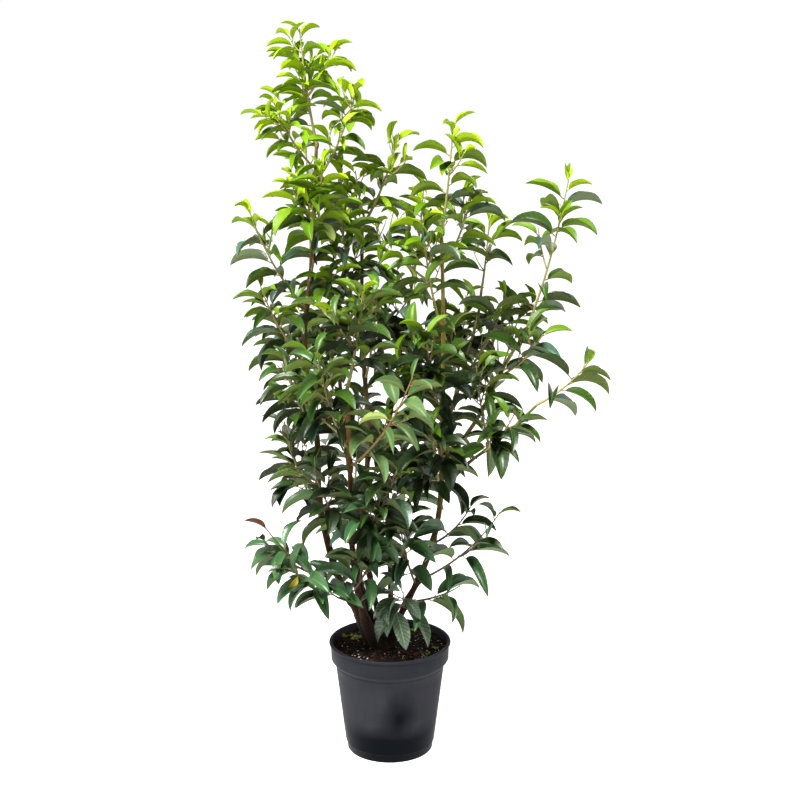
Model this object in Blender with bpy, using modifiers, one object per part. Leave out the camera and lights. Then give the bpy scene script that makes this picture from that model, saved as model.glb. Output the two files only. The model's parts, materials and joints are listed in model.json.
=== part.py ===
"""A portugal laurel of many stems, 1.3 m high, growing in a 22 cm nursery pot.

The pot stands on its flat underside, with the middle of that underside at the
origin. Stems rise out of one woody stool in the soil, boughs leave the stems,
and every leafy spray grows from the tip or the side of one of them.
"""

import math
import random
from dataclasses import dataclass

import bmesh
import bpy
from mathutils import Vector
from mathutils.bvhtree import BVHTree
from mathutils.geometry import intersect_point_line

UP = Vector((0.0, 0.0, 1.0))

# ---- driving dimensions, in metres ----
GAP = 0.0003  # left between two pieces that touch
MERGE = 0.00005

POT_HEIGHT = 0.206
LIP_RADIUS = 0.111
BAND_RADIUS = 0.1065  # the upright band under the lip
BAND_BOTTOM = 0.172
STEP_RADIUS = 0.0995  # where the wall starts, under the band
STEP_BOTTOM = 0.164
WALL_FOOT_RADIUS = 0.0815
FOOT_TOP = 0.016
FOOT_RADIUS = 0.078
FOOT_STEP = 0.0015
WALL = 0.002
FLOOR = 0.003
BEAD = 0.0028  # radius of the rolled edge of the lip
POT_SEGMENTS = 32

SOIL_TOP = 0.192
GROUND = SOIL_TOP + GAP  # the level of the flat cut under the stool

FORK = 0.258  # where the stool ends and the separate stems begin
STOOL_CENTRE = (-0.016, 0.002)
FLARE_RADIUS = 0.027
FLARE_HEIGHT = 0.024
FLARE_TOP_RADIUS = 0.013
FLARE_SINK = 0.002  # how far the flare starts below the flat cut
FLARE_SIDES = 12
STUB = (1.6, 1.0)  # thickness of a stub at the ground and at the fork, in stems
OLD_STUB = (1.75, 1.3)  # the same on the two oldest, pruned stubs
OLD_STEMS = ("left_stem", "front_stem")

SEAT_ROUNDS = 6
LIMB_STEP = 0.060  # length of one straight stretch of a limb
SHOOT_STEP = 0.050
SHOOT_RADIUS = 0.0026  # to a corner of its three-sided outline
SHOOT_TIP_RADIUS = 0.0013
SHOOT_OFFSET = 0.008  # from the middle of a limb, before the shoot is seated
KNEE_OUT = 0.62  # where a shoot bends upwards, as shares of its reach
KNEE_UP = 0.38

# ---- how a shoot bears its leaves ----
LEAF_SPACING = 0.34  # share of the length of a leaf
BARE_FOOT = 0.16  # share of a shoot below its first leaf
LEAF_TURN = math.radians(144.0)  # two turns for every five leaves
LEAF_SPREAD = math.radians(58.0)  # between the shoot and a leaf
LEAF_OVERSIZE = 1.30  # fewer leaves than on the plant, so each is larger
LEAF_WIDTH = 0.44  # share of the length
LEAF_ARCH = 0.13
LEAF_KEEL = 0.035
LEAF_FOLD = 0.05
LEAF_MIDDLE = 0.45
LEAF_ROLL = math.radians(28.0)
ROOT_DEPTH = 0.15  # of its shoot's thickness: how far past its middle a leaf's root is sunk
YOUNG_LEAVES = 4  # small, steep ones at the tip of a shoot
YOUNG_SIZE = 0.58
YOUNG_SPREAD = 0.35
OLD_DROOP = 0.75
CLEARANCE = 0.0009  # kept between one leaf and another
FREE_FROM = 0.005  # a leaf may touch nothing further than this from its root
OWN_SPACE = 0.028  # how far a leaf may reach past halfway to the next spray
TRIES = (0.0, 0.5, -0.5, 1.0, -1.0)  # radians that a crowded leaf may turn

# ---- side shoots ----
FORK_DROP = 1.3  # how far below its tip a chosen one leaves, as a share of its reach
FORK_LEAST = 0.01
SIDE_FIRST = 0.34  # shares of a shoot between which it bears the others
SIDE_LAST = 0.76
SIDE_RISE = 0.35
SIDE_EVERY = 0.12  # a shoot bears one for each such length
SIDE_TURN = math.radians(137.5)
SIDE_SPREAD = math.radians(48.0)
SIDE_SHARE = 0.46  # of the length that the shoot has left
SIDE_LEAST = 0.045
SIDE_ROOM = 0.012  # kept from every other shoot and limb


@dataclass(frozen=True)
class Limb:
    """A stem or a bough: a smooth tapering line through a few way points."""

    name: str
    parent: str
    ways: tuple
    foot_radius: float
    tip_radius: float
    bark: str = "bark"


@dataclass(frozen=True)
class Spray:
    """A leafy shoot with its side shoots, from `height` on its parent limb."""

    name: str
    parent: str
    height: float  # 0 where it grows on from the limb's own tip
    tips: tuple  # the main shoot's tip, then the tips of its chosen side shoots
    leaf: float = 0.066
    droop: float = 0.52
    tone: str = "leaf"


STEMS = (
    Limb("left_stem", "stool",
         ((-0.028, 0.000, 0.185), (-0.055, 0.000, 0.255), (-0.096, 0.015, 0.326),
          (-0.127, 0.030, 0.456), (-0.131, 0.040, 0.571), (-0.151, 0.050, 0.748),
          (-0.137, 0.050, 0.898), (-0.126, 0.045, 1.095)), 0.0070, 0.0028),
    Limb("front_stem", "stool",
         ((-0.018, -0.010, 0.185), (-0.048, -0.020, 0.264), (-0.065, -0.045, 0.380),
          (-0.067, -0.100, 0.550), (-0.069, -0.140, 0.700)), 0.0058, 0.0034),
    Limb("middle_stem", "stool",
         ((-0.014, 0.006, 0.185), (-0.038, 0.014, 0.260), (-0.057, 0.030, 0.345),
          (-0.040, 0.070, 0.550), (-0.050, 0.090, 0.764), (-0.049, 0.090, 0.948)),
         0.0060, 0.0030),
    Limb("right_stem", "stool",
         ((-0.004, -0.002, 0.185), (0.022, -0.004, 0.260), (0.062, -0.010, 0.348),
          (0.086, -0.020, 0.440), (0.092, -0.030, 0.552), (0.092, -0.060, 0.796),
          (0.088, -0.070, 0.950)), 0.0058, 0.0028),
    Limb("back_right_stem", "stool",
         ((-0.004, 0.014, 0.185), (0.001, 0.032, 0.262), (0.000, 0.060, 0.340),
          (-0.006, 0.130, 0.530), (0.020, 0.170, 0.713), (0.045, 0.185, 0.860)),
         0.0052, 0.0028),
    Limb("back_left_stem", "stool",
         ((-0.014, 0.014, 0.185), (-0.026, 0.034, 0.262), (-0.052, 0.080, 0.370),
          (-0.085, 0.150, 0.545), (-0.098, 0.190, 0.730), (-0.088, 0.205, 0.860)),
         0.0052, 0.0028),
)

BOUGHS = (
    Limb("right_bough", "right_stem",
         ((0.091, -0.028, 0.535), (0.135, -0.010, 0.592), (0.162, 0.000, 0.632),
          (0.207, 0.010, 0.721), (0.230, 0.010, 0.757)), 0.0040, 0.0026, "green_bark"),
    Limb("low_right_bough", "right_stem",
         ((0.090, -0.026, 0.495), (0.140, -0.060, 0.556), (0.187, -0.080, 0.598),
          (0.250, -0.090, 0.662)), 0.0032, 0.0022, "green_bark"),
    Limb("inner_right_bough", "right_stem",
         ((0.092, -0.034, 0.590), (0.120, 0.010, 0.668), (0.156, 0.060, 0.787),
          (0.164, 0.068, 0.840)), 0.0034, 0.0024, "green_bark"),
)

SPRAYS = (
    # the tall left stem
    Spray("left_top_spray", "left_stem", 0.0,
          ((-0.152, 0.040, 1.285), (-0.100, 0.020, 1.250), (-0.150, 0.070, 1.210)),
          0.052, 0.50, "young_leaf"),
    Spray("left_top_west_spray", "left_stem", 1.060, ((-0.195, 0.015, 1.165),), 0.055),
    Spray("left_top_east_spray", "left_stem", 1.040,
          ((-0.056, 0.010, 1.188),), 0.056, 0.60, "young_leaf"),
    Spray("left_front_high_spray", "left_stem", 0.860,
          ((-0.112, -0.040, 1.065), (-0.160, -0.045, 1.020)), 0.062),
    Spray("left_back_high_spray", "left_stem", 0.900,
          ((-0.150, 0.140, 1.085), (-0.080, 0.120, 1.040)), 0.062),
    Spray("left_west_high_spray", "left_stem", 0.815,
          ((-0.240, 0.000, 0.985), (-0.200, 0.010, 0.965)), 0.064),
    Spray("left_west_mid_spray", "left_stem", 0.720,
          ((-0.222, 0.000, 0.850),), 0.066),
    Spray("left_west_inner_spray", "left_stem", 0.600, ((-0.180, -0.060, 0.738),), 0.068),
    Spray("left_west_low_spray", "left_stem", 0.470,
          ((-0.178, -0.015, 0.575), (-0.160, -0.060, 0.545)), 0.068),
    Spray("left_back_mid_spray", "left_stem", 0.600,
          ((-0.205, 0.150, 0.780), (-0.160, 0.160, 0.700)), 0.068),
    Spray("left_back_low_spray", "left_stem", 0.430, ((-0.195, 0.115, 0.585),), 0.072),
    # the front stem
    Spray("front_top_spray", "front_stem", 0.0,
          ((-0.042, -0.165, 0.865), (-0.090, -0.175, 0.835)), 0.064, 0.50),
    Spray("front_left_spray", "front_stem", 0.600,
          ((-0.115, -0.200, 0.770), (-0.135, -0.155, 0.690)), 0.068),
    Spray("front_right_spray", "front_stem", 0.565, ((0.037, -0.232, 0.735),), 0.066, 0.50),
    Spray("front_low_left_spray", "front_stem", 0.430,
          ((-0.125, -0.140, 0.560),), 0.070, 0.75),
    Spray("front_low_right_spray", "front_stem", 0.410,
          ((0.010, -0.160, 0.560), (-0.030, -0.150, 0.500)), 0.070, 0.75),
    # the middle stem
    Spray("middle_top_spray", "middle_stem", 0.0,
          ((0.015, 0.080, 1.110), (-0.060, 0.090, 1.045)), 0.062),
    Spray("middle_east_spray", "middle_stem", 0.830, ((0.008, 0.045, 0.985),), 0.062),
    Spray("middle_front_spray", "middle_stem", 0.680,
          ((-0.020, 0.000, 0.845), (0.045, 0.015, 0.850), (0.015, 0.010, 0.770)), 0.066),
    Spray("middle_west_spray", "middle_stem", 0.760,
          ((-0.085, 0.055, 0.975), (-0.118, 0.010, 0.875)), 0.064),
    Spray("middle_low_spray", "middle_stem", 0.470,
          ((-0.005, 0.010, 0.620), (0.025, 0.030, 0.560)), 0.070, 0.75),
    # the right stem
    Spray("right_top_spray", "right_stem", 0.0, ((0.106, -0.070, 1.130),), 0.060, 0.58),
    Spray("right_top_east_spray", "right_stem", 0.905, ((0.140, -0.055, 1.020),), 0.060, 0.55,
          "young_leaf"),
    Spray("right_west_spray", "right_stem", 0.800,
          ((0.053, -0.105, 0.985), (0.020, -0.090, 0.920)), 0.064),
    Spray("right_front_spray", "right_stem", 0.640,
          ((0.060, -0.165, 0.800), (0.020, -0.140, 0.745)), 0.068),
    Spray("right_front_low_spray", "right_stem", 0.500,
          ((0.072, -0.160, 0.640),), 0.070, 0.75),
    Spray("right_hollow_spray", "right_stem", 0.400, ((0.140, -0.050, 0.468),), 0.066),
    Spray("low_right_spray", "right_stem", 0.330,
          ((0.190, -0.090, 0.472), (0.155, -0.105, 0.430)), 0.072, 0.80),
    Spray("lowest_right_spray", "right_stem", 0.285, ((0.122, -0.060, 0.328),), 0.074, 0.90),
    # the right boughs
    Spray("right_bough_spray", "right_bough", 0.0,
          ((0.305, -0.020, 1.045),), 0.066, 0.52),
    Spray("right_bough_low_spray", "right_bough", 0.700, ((0.262, -0.045, 0.775),), 0.070),
    Spray("right_bough_back_spray", "right_bough", 0.640,
          ((0.240, 0.090, 0.820), (0.195, 0.080, 0.750)), 0.068),
    Spray("low_right_bough_spray", "low_right_bough", 0.0,
          ((0.336, -0.105, 0.742),), 0.070, 0.60),
    Spray("low_right_bough_front_spray", "low_right_bough", 0.580,
          ((0.208, -0.135, 0.655), (0.170, -0.140, 0.620), (0.150, -0.050, 0.720)),
          0.072, 0.80),
    Spray("inner_right_spray", "inner_right_bough", 0.0,
          ((0.176, 0.070, 0.960),), 0.062, 0.55),
    Spray("inner_right_east_spray", "inner_right_bough", 0.700,
          ((0.205, 0.040, 0.830),), 0.066),
    Spray("inner_right_back_spray", "inner_right_bough", 0.665,
          ((0.140, 0.160, 0.815), (0.090, 0.110, 0.790)), 0.068),
    # the back stems
    Spray("back_right_top_spray", "back_right_stem", 0.0,
          ((0.062, 0.190, 1.010), (0.105, 0.185, 0.950)), 0.062),
    Spray("back_right_east_spray", "back_right_stem", 0.600,
          ((0.120, 0.235, 0.750), (0.060, 0.250, 0.730)), 0.068),
    Spray("back_right_low_spray", "back_right_stem", 0.400,
          ((0.100, 0.150, 0.590), (0.055, 0.185, 0.540)), 0.072),
    Spray("back_left_top_spray", "back_left_stem", 0.0,
          ((-0.072, 0.210, 1.000), (-0.130, 0.215, 0.950)), 0.062),
    Spray("back_left_west_spray", "back_left_stem", 0.620,
          ((-0.165, 0.255, 0.790), (-0.095, 0.275, 0.760)), 0.068),
    Spray("back_low_spray", "back_left_stem", 0.460,
          ((-0.060, 0.235, 0.610), (-0.120, 0.220, 0.570)), 0.072),
    # the low skirt over the pot
    Spray("low_left_spray", "left_stem", 0.300,
          ((-0.218, -0.090, 0.452), (-0.220, -0.040, 0.405), (-0.170, -0.110, 0.378)),
          0.066, 0.85),
    Spray("low_front_left_spray", "left_stem", 0.280,
          ((-0.110, -0.075, 0.330), (-0.035, -0.092, 0.385)), 0.074, 0.90),
    Spray("low_front_spray", "right_stem", 0.272, ((0.024, -0.075, 0.322),), 0.074, 1.00),
    Spray("low_back_spray", "back_left_stem", 0.310,
          ((-0.070, 0.165, 0.430), (-0.010, 0.140, 0.420)), 0.072, 0.80),
    Spray("front_centre_spray", "right_stem", 0.320, ((0.015, -0.100, 0.480),), 0.068, 0.70),
)

# ---- colours: base colour, roughness ----
FINISHES = {
    "pot_plastic": ((0.055, 0.058, 0.066), 0.42),
    "soil": ((0.020, 0.014, 0.010), 0.95),
    "bark": ((0.075, 0.050, 0.034), 0.85),
    "green_bark": ((0.130, 0.115, 0.045), 0.70),
    "leaf": ((0.075, 0.160, 0.045), 0.45),
    "young_leaf": ((0.250, 0.400, 0.030), 0.45),
}


# ---- helpers ----
def finish(name):
    """The material of that name, made on its first use."""
    if name in bpy.data.materials:
        return bpy.data.materials[name]
    colour, roughness = FINISHES[name]
    material = bpy.data.materials.new(name)
    material.use_nodes = True
    shader = material.node_tree.nodes["Principled BSDF"]
    shader.inputs["Base Color"].default_value = (*colour, 1.0)
    shader.inputs["Roughness"].default_value = roughness
    return material


def new_collection(name):
    collection = bpy.data.collections.new(name)
    bpy.context.scene.collection.children.link(collection)
    return collection


def add_object(name, data, collection, material=None):
    piece = bpy.data.objects.new(name, data)
    collection.objects.link(piece)
    if material:
        data.materials.append(finish(material))
    return piece


def remove(piece):
    data = piece.data
    bpy.data.objects.remove(piece)
    if isinstance(data, bpy.types.Mesh):
        bpy.data.meshes.remove(data)
    else:
        bpy.data.curves.remove(data)


def as_mesh(piece):
    """The evaluated shape of a piece."""
    graph = bpy.context.evaluated_depsgraph_get()
    return bpy.data.meshes.new_from_object(piece.evaluated_get(graph))


def with_caps_welded(mesh):
    shape = bmesh.new()
    shape.from_mesh(mesh)
    bmesh.ops.remove_doubles(shape, verts=shape.verts, dist=MERGE)
    bmesh.ops.recalc_face_normals(shape, faces=shape.faces)
    shape.to_mesh(mesh)
    shape.free()
    return mesh


def tube_curve(name, line, radii, profile=None):
    """A tapering tube along a line: round, or with the outline of a profile."""
    curve = bpy.data.curves.new(name, "CURVE")
    curve.dimensions = "3D"
    curve.use_fill_caps = True
    if profile:
        curve.bevel_mode = "OBJECT"
        curve.bevel_object = profile
    else:
        curve.bevel_depth = 1.0
        curve.bevel_resolution = 2
    spline = curve.splines.new("POLY")
    spline.points.add(len(line) - 1)
    for point, place, radius in zip(spline.points, line, radii):
        point.co = (*place, 1.0)
        point.radius = radius
    return curve


def tube(name, line, radii, collection, profile=None):
    """The same tube as a mesh object."""
    guide = add_object(name + "_line", tube_curve(name, line, radii, profile), collection)
    mesh = with_caps_welded(as_mesh(guide))
    remove(guide)
    return add_object(name, mesh, collection)


def three_sided_profile(collection):
    """The outline that every shoot is drawn with, of radius 1."""
    curve = bpy.data.curves.new("three_sided_profile", "CURVE")
    curve.dimensions = "2D"
    outline = curve.splines.new("POLY")
    outline.points.add(2)
    outline.use_cyclic_u = True
    for index, point in enumerate(outline.points):
        angle = math.tau * index / 3
        point.co = (math.cos(angle), math.sin(angle), 0.0, 1.0)
    profile = add_object("three_sided_profile", curve, collection)
    profile.hide_render = True
    profile.display_type = "WIRE"
    return profile


def united(base, others, collection):
    """Join others to base with one Boolean union, and leave one plain mesh."""
    gathered = new_collection("gathered")
    for piece in others:
        collection.objects.unlink(piece)
        gathered.objects.link(piece)
    union = base.modifiers.new("union", "BOOLEAN")
    union.operation = "UNION"
    union.operand_type = "COLLECTION"
    union.collection = gathered
    union.solver = "EXACT"
    mesh = as_mesh(base)
    base.modifiers.remove(union)
    for piece in others:
        remove(piece)
    bpy.data.collections.remove(gathered)
    plain = base.data
    base.data = mesh
    bpy.data.meshes.remove(plain)
    return base


# ---- lines ----
def smooth_line(ways, step):
    """Points about `step` apart on a Catmull-Rom curve through the way points."""
    ways = [Vector(way) for way in ways]
    ends = [2 * ways[0] - ways[1], *ways, 2 * ways[-1] - ways[-2]]
    line = [ways[0]]
    for before, start, end, after in zip(ends, ends[1:], ends[2:], ends[3:]):
        pieces = max(1, round((end - start).length / step))
        for index in range(1, pieces + 1):
            t = index / pieces
            line.append(0.5 * (2 * start + (end - before) * t
                               + (2 * before - 5 * start + 4 * end - after) * t ** 2
                               + (3 * start - before - 3 * end + after) * t ** 3))
    return line


def bowed_line(foot, tip, step=SHOOT_STEP):
    """A shoot's line: it leaves outwards and turns up towards the light."""
    across = Vector((tip.x - foot.x, tip.y - foot.y, 0.0))
    knee = foot + across * KNEE_OUT + UP * (tip.z - foot.z) * KNEE_UP
    pieces = max(2, round((tip - foot).length / step))
    shares = [index / pieces for index in range(pieces + 1)]
    return [foot * (1 - t) ** 2 + knee * 2 * t * (1 - t) + tip * t ** 2 for t in shares]


def cut_at_height(line, height):
    """Split a rising line at a height: the points below, the points above."""
    for index, (low, high) in enumerate(zip(line, line[1:])):
        if high.z > height:
            place = low.lerp(high, (height - low.z) / (high.z - low.z))
            return [*line[:index + 1], place], [place, *line[index + 1:]]
    return line, line[-1:]


def at_length(line, distance):
    """The place and the direction at a distance along a line."""
    for low, high in zip(line, line[1:]):
        stretch = (high - low).length
        if distance <= stretch:
            break
        distance -= stretch
    return low.lerp(high, min(1.0, distance / stretch)), (high - low).normalized()


def line_length(line):
    return sum((high - low).length for low, high in zip(line, line[1:]))


def taper(count, foot_radius, tip_radius):
    return [foot_radius + (tip_radius - foot_radius) * index / (count - 1)
            for index in range(count)]


def height_over(tree, point):
    """Distance of a point from a solid's surface, negative inside it."""
    touch, normal, _face, distance = tree.find_nearest(point)
    return distance if (point - touch).dot(normal) > 0.0 else -distance


def foot_samples(piece, foot, radius):
    """Points spread over the flat foot of a tube."""
    rim = [vertex.co for vertex in piece.data.vertices
           if (vertex.co - foot).length < radius * 1.1]
    middles = [(rim[index] + rim[index - 1]) / 2 for index in range(len(rim))]
    return [foot + (point - foot) * share
            for point in rim + middles for share in (0.0, 0.5, 1.0)]


def seated_tube(name, line, radii, parent_tree, outward, collection, profile=None):
    """A tube whose foot stands GAP off its parent, moved there along `outward`."""
    for _ in range(SEAT_ROUNDS):
        piece = tube(name, line, radii, collection, profile)
        over = min(height_over(parent_tree, point)
                   for point in foot_samples(piece, line[0], radii[0]))
        if abs(over - GAP) < MERGE:
            break
        line[0] = line[0] + outward * (GAP - over)
        remove(piece)
    return piece


# ---- pot and soil ----
def turned(name, outline, collection, material):
    """A solid of revolution from an outline that runs down its outer side."""
    mesh = bpy.data.meshes.new(name + "_outline")
    edges = [(index, index + 1) for index in range(len(outline) - 1)]
    mesh.from_pydata([(radius, 0.0, height) for radius, height in outline], edges, [])
    piece = add_object(name, mesh, collection, material)
    screw = piece.modifiers.new("turn", "SCREW")
    screw.steps = POT_SEGMENTS
    screw.render_steps = POT_SEGMENTS
    screw.use_merge_vertices = True
    screw.merge_threshold = MERGE
    screw.use_smooth_shade = False
    return piece


def build_pot(collection):
    lip_foot = POT_HEIGHT - 2.6 * BEAD
    outline = [
        (0.0, FLOOR),
        (FOOT_RADIUS - WALL, FLOOR),
        (STEP_RADIUS - WALL, STEP_BOTTOM),
        (BAND_RADIUS - 2 * WALL, BAND_BOTTOM),
        (LIP_RADIUS - BEAD - 2 * WALL, POT_HEIGHT - BEAD),
        (LIP_RADIUS - BEAD - WALL, POT_HEIGHT),
        (LIP_RADIUS - 0.3 * BEAD, POT_HEIGHT - 0.2 * BEAD),
        (LIP_RADIUS, POT_HEIGHT - BEAD),
        (LIP_RADIUS - 0.4 * BEAD, POT_HEIGHT - 2.2 * BEAD),
        (LIP_RADIUS - BEAD, lip_foot),
        (BAND_RADIUS, BAND_BOTTOM),
        (STEP_RADIUS, STEP_BOTTOM),
        (WALL_FOOT_RADIUS, FOOT_TOP),
        (FOOT_RADIUS + FOOT_STEP, FOOT_TOP - FOOT_STEP),
        (FOOT_RADIUS, 0.0),
        (0.0, 0.0),
    ]
    return turned("pot", outline, collection, "pot_plastic")


def build_soil(collection):
    inside = WALL + GAP
    top_radius = BAND_RADIUS - 2 * WALL - GAP
    outline = [
        (0.0, SOIL_TOP),
        (top_radius, SOIL_TOP),
        (top_radius, BAND_BOTTOM + GAP),
        (STEP_RADIUS - inside, STEP_BOTTOM),
        (FOOT_RADIUS - inside, FLOOR + GAP),
        (0.0, FLOOR + GAP),
    ]
    return turned("soil", outline, collection, "soil")


# ---- stool, stems and boughs ----
def build_stool(stem_lines, collection, cutters):
    """The woody foot: a flare and one thick stub for each stem, cut flat at the soil."""
    bpy.ops.mesh.primitive_cone_add(
        vertices=FLARE_SIDES, radius1=FLARE_RADIUS, radius2=FLARE_TOP_RADIUS,
        depth=FLARE_HEIGHT, location=(*STOOL_CENTRE, GROUND - FLARE_SINK + FLARE_HEIGHT / 2))
    stool = bpy.context.active_object
    stool.name = "stool"
    for home in stool.users_collection:
        home.objects.unlink(stool)
    collection.objects.link(stool)
    stool.data.materials.append(finish("bark"))
    stubs = []
    for stem, line in stem_lines.items():
        below, _above = cut_at_height(line, FORK)
        below[-1] = below[-1] - (below[-1] - below[-2]).normalized() * GAP
        low, high = OLD_STUB if stem.name in OLD_STEMS else STUB
        radii = taper(len(below), stem.foot_radius * low, stem.foot_radius * high)
        stubs.append(tube(stem.name + "_stub", below, radii, collection))
    united(stool, stubs, collection)
    size = 2 * LIP_RADIUS
    bpy.ops.mesh.primitive_cube_add(size=size, location=(0.0, 0.0, GROUND - size / 2))
    ground = bpy.context.active_object
    ground.name = "ground_cutter"
    for home in ground.users_collection:
        home.objects.unlink(ground)
    cutters.objects.link(ground)
    ground.hide_render = True
    ground.display_type = "WIRE"
    cut = stool.modifiers.new("flat_cut", "BOOLEAN")
    cut.operation = "DIFFERENCE"
    cut.object = ground
    return stool


def build_limb(limb, line, trees, collection):
    """One tapering limb. A bough is seated on the side of the stem it leaves."""
    radii = taper(len(line), limb.foot_radius, limb.tip_radius)
    if limb.parent == "stool":
        piece = tube(limb.name, line, radii, collection)
    else:
        outward = Vector((line[1].x - line[0].x, line[1].y - line[0].y, 0.0)).normalized()
        piece = seated_tube(limb.name, line, radii, trees[limb.parent], outward, collection)
    piece.data.materials.append(finish(limb.bark))
    return piece


# ---- leaves ----
def leaf_points(root, heading, face, length, grow=0.0):
    """Root, two edges and keel at the middle, and tip of an arched, folded leaf."""
    side = heading.cross(face).normalized()
    half = LEAF_WIDTH * length / 2 + grow
    middle = root + heading * length * LEAF_MIDDLE + face * LEAF_ARCH * length
    return [
        root,
        middle + side * half + face * (LEAF_FOLD * length + grow),
        middle - side * half + face * (LEAF_FOLD * length + grow),
        middle - face * (LEAF_KEEL * length + grow),
        root + heading * (length + grow),
    ]


LEAF_FACES = ((0, 2, 1), (0, 3, 2), (0, 1, 3), (4, 1, 2), (4, 2, 3), (4, 3, 1))


class Leaf:
    """The room that one leaf takes up."""

    def __init__(self, root, heading, face, length, grow):
        points = leaf_points(root, heading, face, length, grow)
        self.tip = points[-1]
        self.tree = BVHTree.FromPolygons(points, LEAF_FACES)


def leaf_object(name, points, collection):
    mesh = bpy.data.meshes.new(name)
    mesh.from_pydata(points, [], LEAF_FACES)
    return add_object(name, mesh, collection)


# ---- sprays ----
class Growing:
    """A spray while it grows: its shoots, their leaves and the space they fill."""

    def __init__(self, spray, lines, limb_tree, outward, profile, collection):
        self.spray = spray
        self.lines = lines
        self.dice = random.Random(spray.name)
        self.leaves = []
        self.solid_leaves = []
        self.twigs = []
        for index, line in enumerate(lines):
            name = f"{spray.name}_twig_{index}"
            radii = taper(len(line), SHOOT_RADIUS, SHOOT_TIP_RADIUS)
            if index == 0:
                twig = seated_tube(name, line, radii, limb_tree, outward, collection, profile)
            else:
                twig = tube(name, line, radii, collection, profile)
            self.twigs.append(twig)
        self.wood = BVHTree.FromPolygons(*joined_faces(self.twigs))


def joined_faces(pieces):
    """The corners and faces of several pieces as one list of each."""
    corners = []
    faces = []
    for piece in pieces:
        first = len(corners)
        corners.extend(vertex.co.copy() for vertex in piece.data.vertices)
        faces.extend(tuple(first + index for index in face.vertices)
                     for face in piece.data.polygons)
    return corners, faces


def way_out(spray, limb):
    """Where a spray leaves its limb, and the direction straight off the limb there."""
    if not spray.height:
        return limb[-1], (limb[-1] - limb[-2]).normalized()
    below, _above = cut_at_height(limb, spray.height)
    place = below[-1]
    axis = (place - below[-2]).normalized()
    heading = bowed_line(place, Vector(spray.tips[0]))[1] - place
    return place, (heading - axis * heading.dot(axis)).normalized()


def first_lines(spray, limb):
    """The main shoot from its limb, then the side shoots whose tips are given."""
    tip = Vector(spray.tips[0])
    place, outward = way_out(spray, limb)
    start = place + outward * (SHOOT_OFFSET if spray.height else SHOOT_RADIUS)
    lines = [bowed_line(start, tip)]
    for side_tip in spray.tips[1:]:
        side_tip = Vector(side_tip)
        reach = Vector((side_tip.x - tip.x, side_tip.y - tip.y)).length
        height = max(start.z + FORK_LEAST, side_tip.z - FORK_DROP * reach)
        below, _above = cut_at_height(lines[0], height)
        lines.append(bowed_line(below[-1], side_tip))
    return lines


def distance_to(point, line):
    """From a point to the nearest stretch of a line."""
    nearest = math.inf
    for low, high in zip(line, line[1:]):
        place, share = intersect_point_line(point, low, high)
        place = low if share < 0.0 else high if share > 1.0 else place
        nearest = min(nearest, (point - place).length)
    return nearest


def side_lines(spray, lines, standing):
    """Short side shoots, spiralling up each shoot, where nothing is in their way."""
    dice = random.Random(spray.name + " side")
    grown = []
    for line in lines:
        length = line_length(line)
        count = int(length / SIDE_EVERY)
        turn = dice.uniform(0.0, math.tau)
        for index in range(count):
            share = SIDE_FIRST + (SIDE_LAST - SIDE_FIRST) * (index + 0.5) / count
            place, axis = at_length(line, length * share)
            reach = max(SIDE_LEAST, SIDE_SHARE * length * (1.0 - share))
            across = axis.orthogonal().normalized()
            out = across * math.cos(turn) + axis.cross(across) * math.sin(turn)
            turn += SIDE_TURN
            heading = axis * math.cos(SIDE_SPREAD) + out * math.sin(SIDE_SPREAD)
            tip = place + (heading + UP * SIDE_RISE).normalized() * reach
            side = bowed_line(place, tip)
            if all(distance_to(point, other) > SIDE_ROOM
                   for point in side[1:] for other in standing):
                grown.append(side)
                standing.append(side)
    return grown


def leaf_sites(line, leaf, droop, dice):
    """Where a shoot may bear a leaf, how it is turned there, and its sizes."""
    length = line_length(line)
    first = max(0.012, BARE_FOOT * length)
    count = max(YOUNG_LEAVES, round((length - first) / (LEAF_SPACING * leaf)) + 1)
    turn = dice.uniform(0.0, math.tau)
    for index in range(count):
        from_tip = count - 1 - index
        share = index / (count - 1)
        place, axis = at_length(line, first + (length - first - 0.001) * share)
        across = axis.orthogonal().normalized()
        turn += LEAF_TURN + dice.uniform(-0.25, 0.25)
        along = (first + (length - first) * share) / length
        thickness = SHOOT_RADIUS + (SHOOT_TIP_RADIUS - SHOOT_RADIUS) * along
        age = min(1.0, from_tip / YOUNG_LEAVES)
        grown = YOUNG_SIZE + (1.0 - YOUNG_SIZE) * age
        size = leaf * LEAF_OVERSIZE * grown * dice.uniform(0.9, 1.1)
        spread = LEAF_SPREAD * (YOUNG_SPREAD + (1.0 - YOUNG_SPREAD) * age)
        fall = droop * age * (OLD_DROOP + (1.0 - share) / 2) + dice.uniform(-0.12, 0.12)
        roll = dice.uniform(-LEAF_ROLL, LEAF_ROLL)
        yield place, axis, across, turn, spread, fall, roll, size, ROOT_DEPTH * thickness


def leaf_pose(axis, across, turn, spread, fall, roll):
    """The heading of a leaf and the way that its upper side faces."""
    out = across * math.cos(turn) + axis.cross(across) * math.sin(turn)
    heading = (axis * math.cos(spread) + out * math.sin(spread) - UP * fall).normalized()
    above = axis + UP - out / 4
    face = (above - heading * above.dot(heading)).normalized()
    return heading, face * math.cos(roll) + heading.cross(face) * math.sin(roll)


def fits(whole, free, obstacles, growing, others):
    """Whether a leaf is clear of the wood and of all other leaves, in its own space."""
    if any(whole.tree.overlap(obstacle) for obstacle in obstacles):
        return False
    if free.tree.overlap(growing.wood):
        return False
    if any(free.tree.overlap(leaf.tree) for leaf in growing.leaves):
        return False
    own = growing.wood.find_nearest(whole.tip)[3]
    for other in others:
        if other.wood.find_nearest(whole.tip)[3] + OWN_SPACE < own:
            return False
        if whole.tree.overlap(other.wood):
            return False
        if any(whole.tree.overlap(leaf.tree) for leaf in other.leaves):
            return False
    return True


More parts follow.
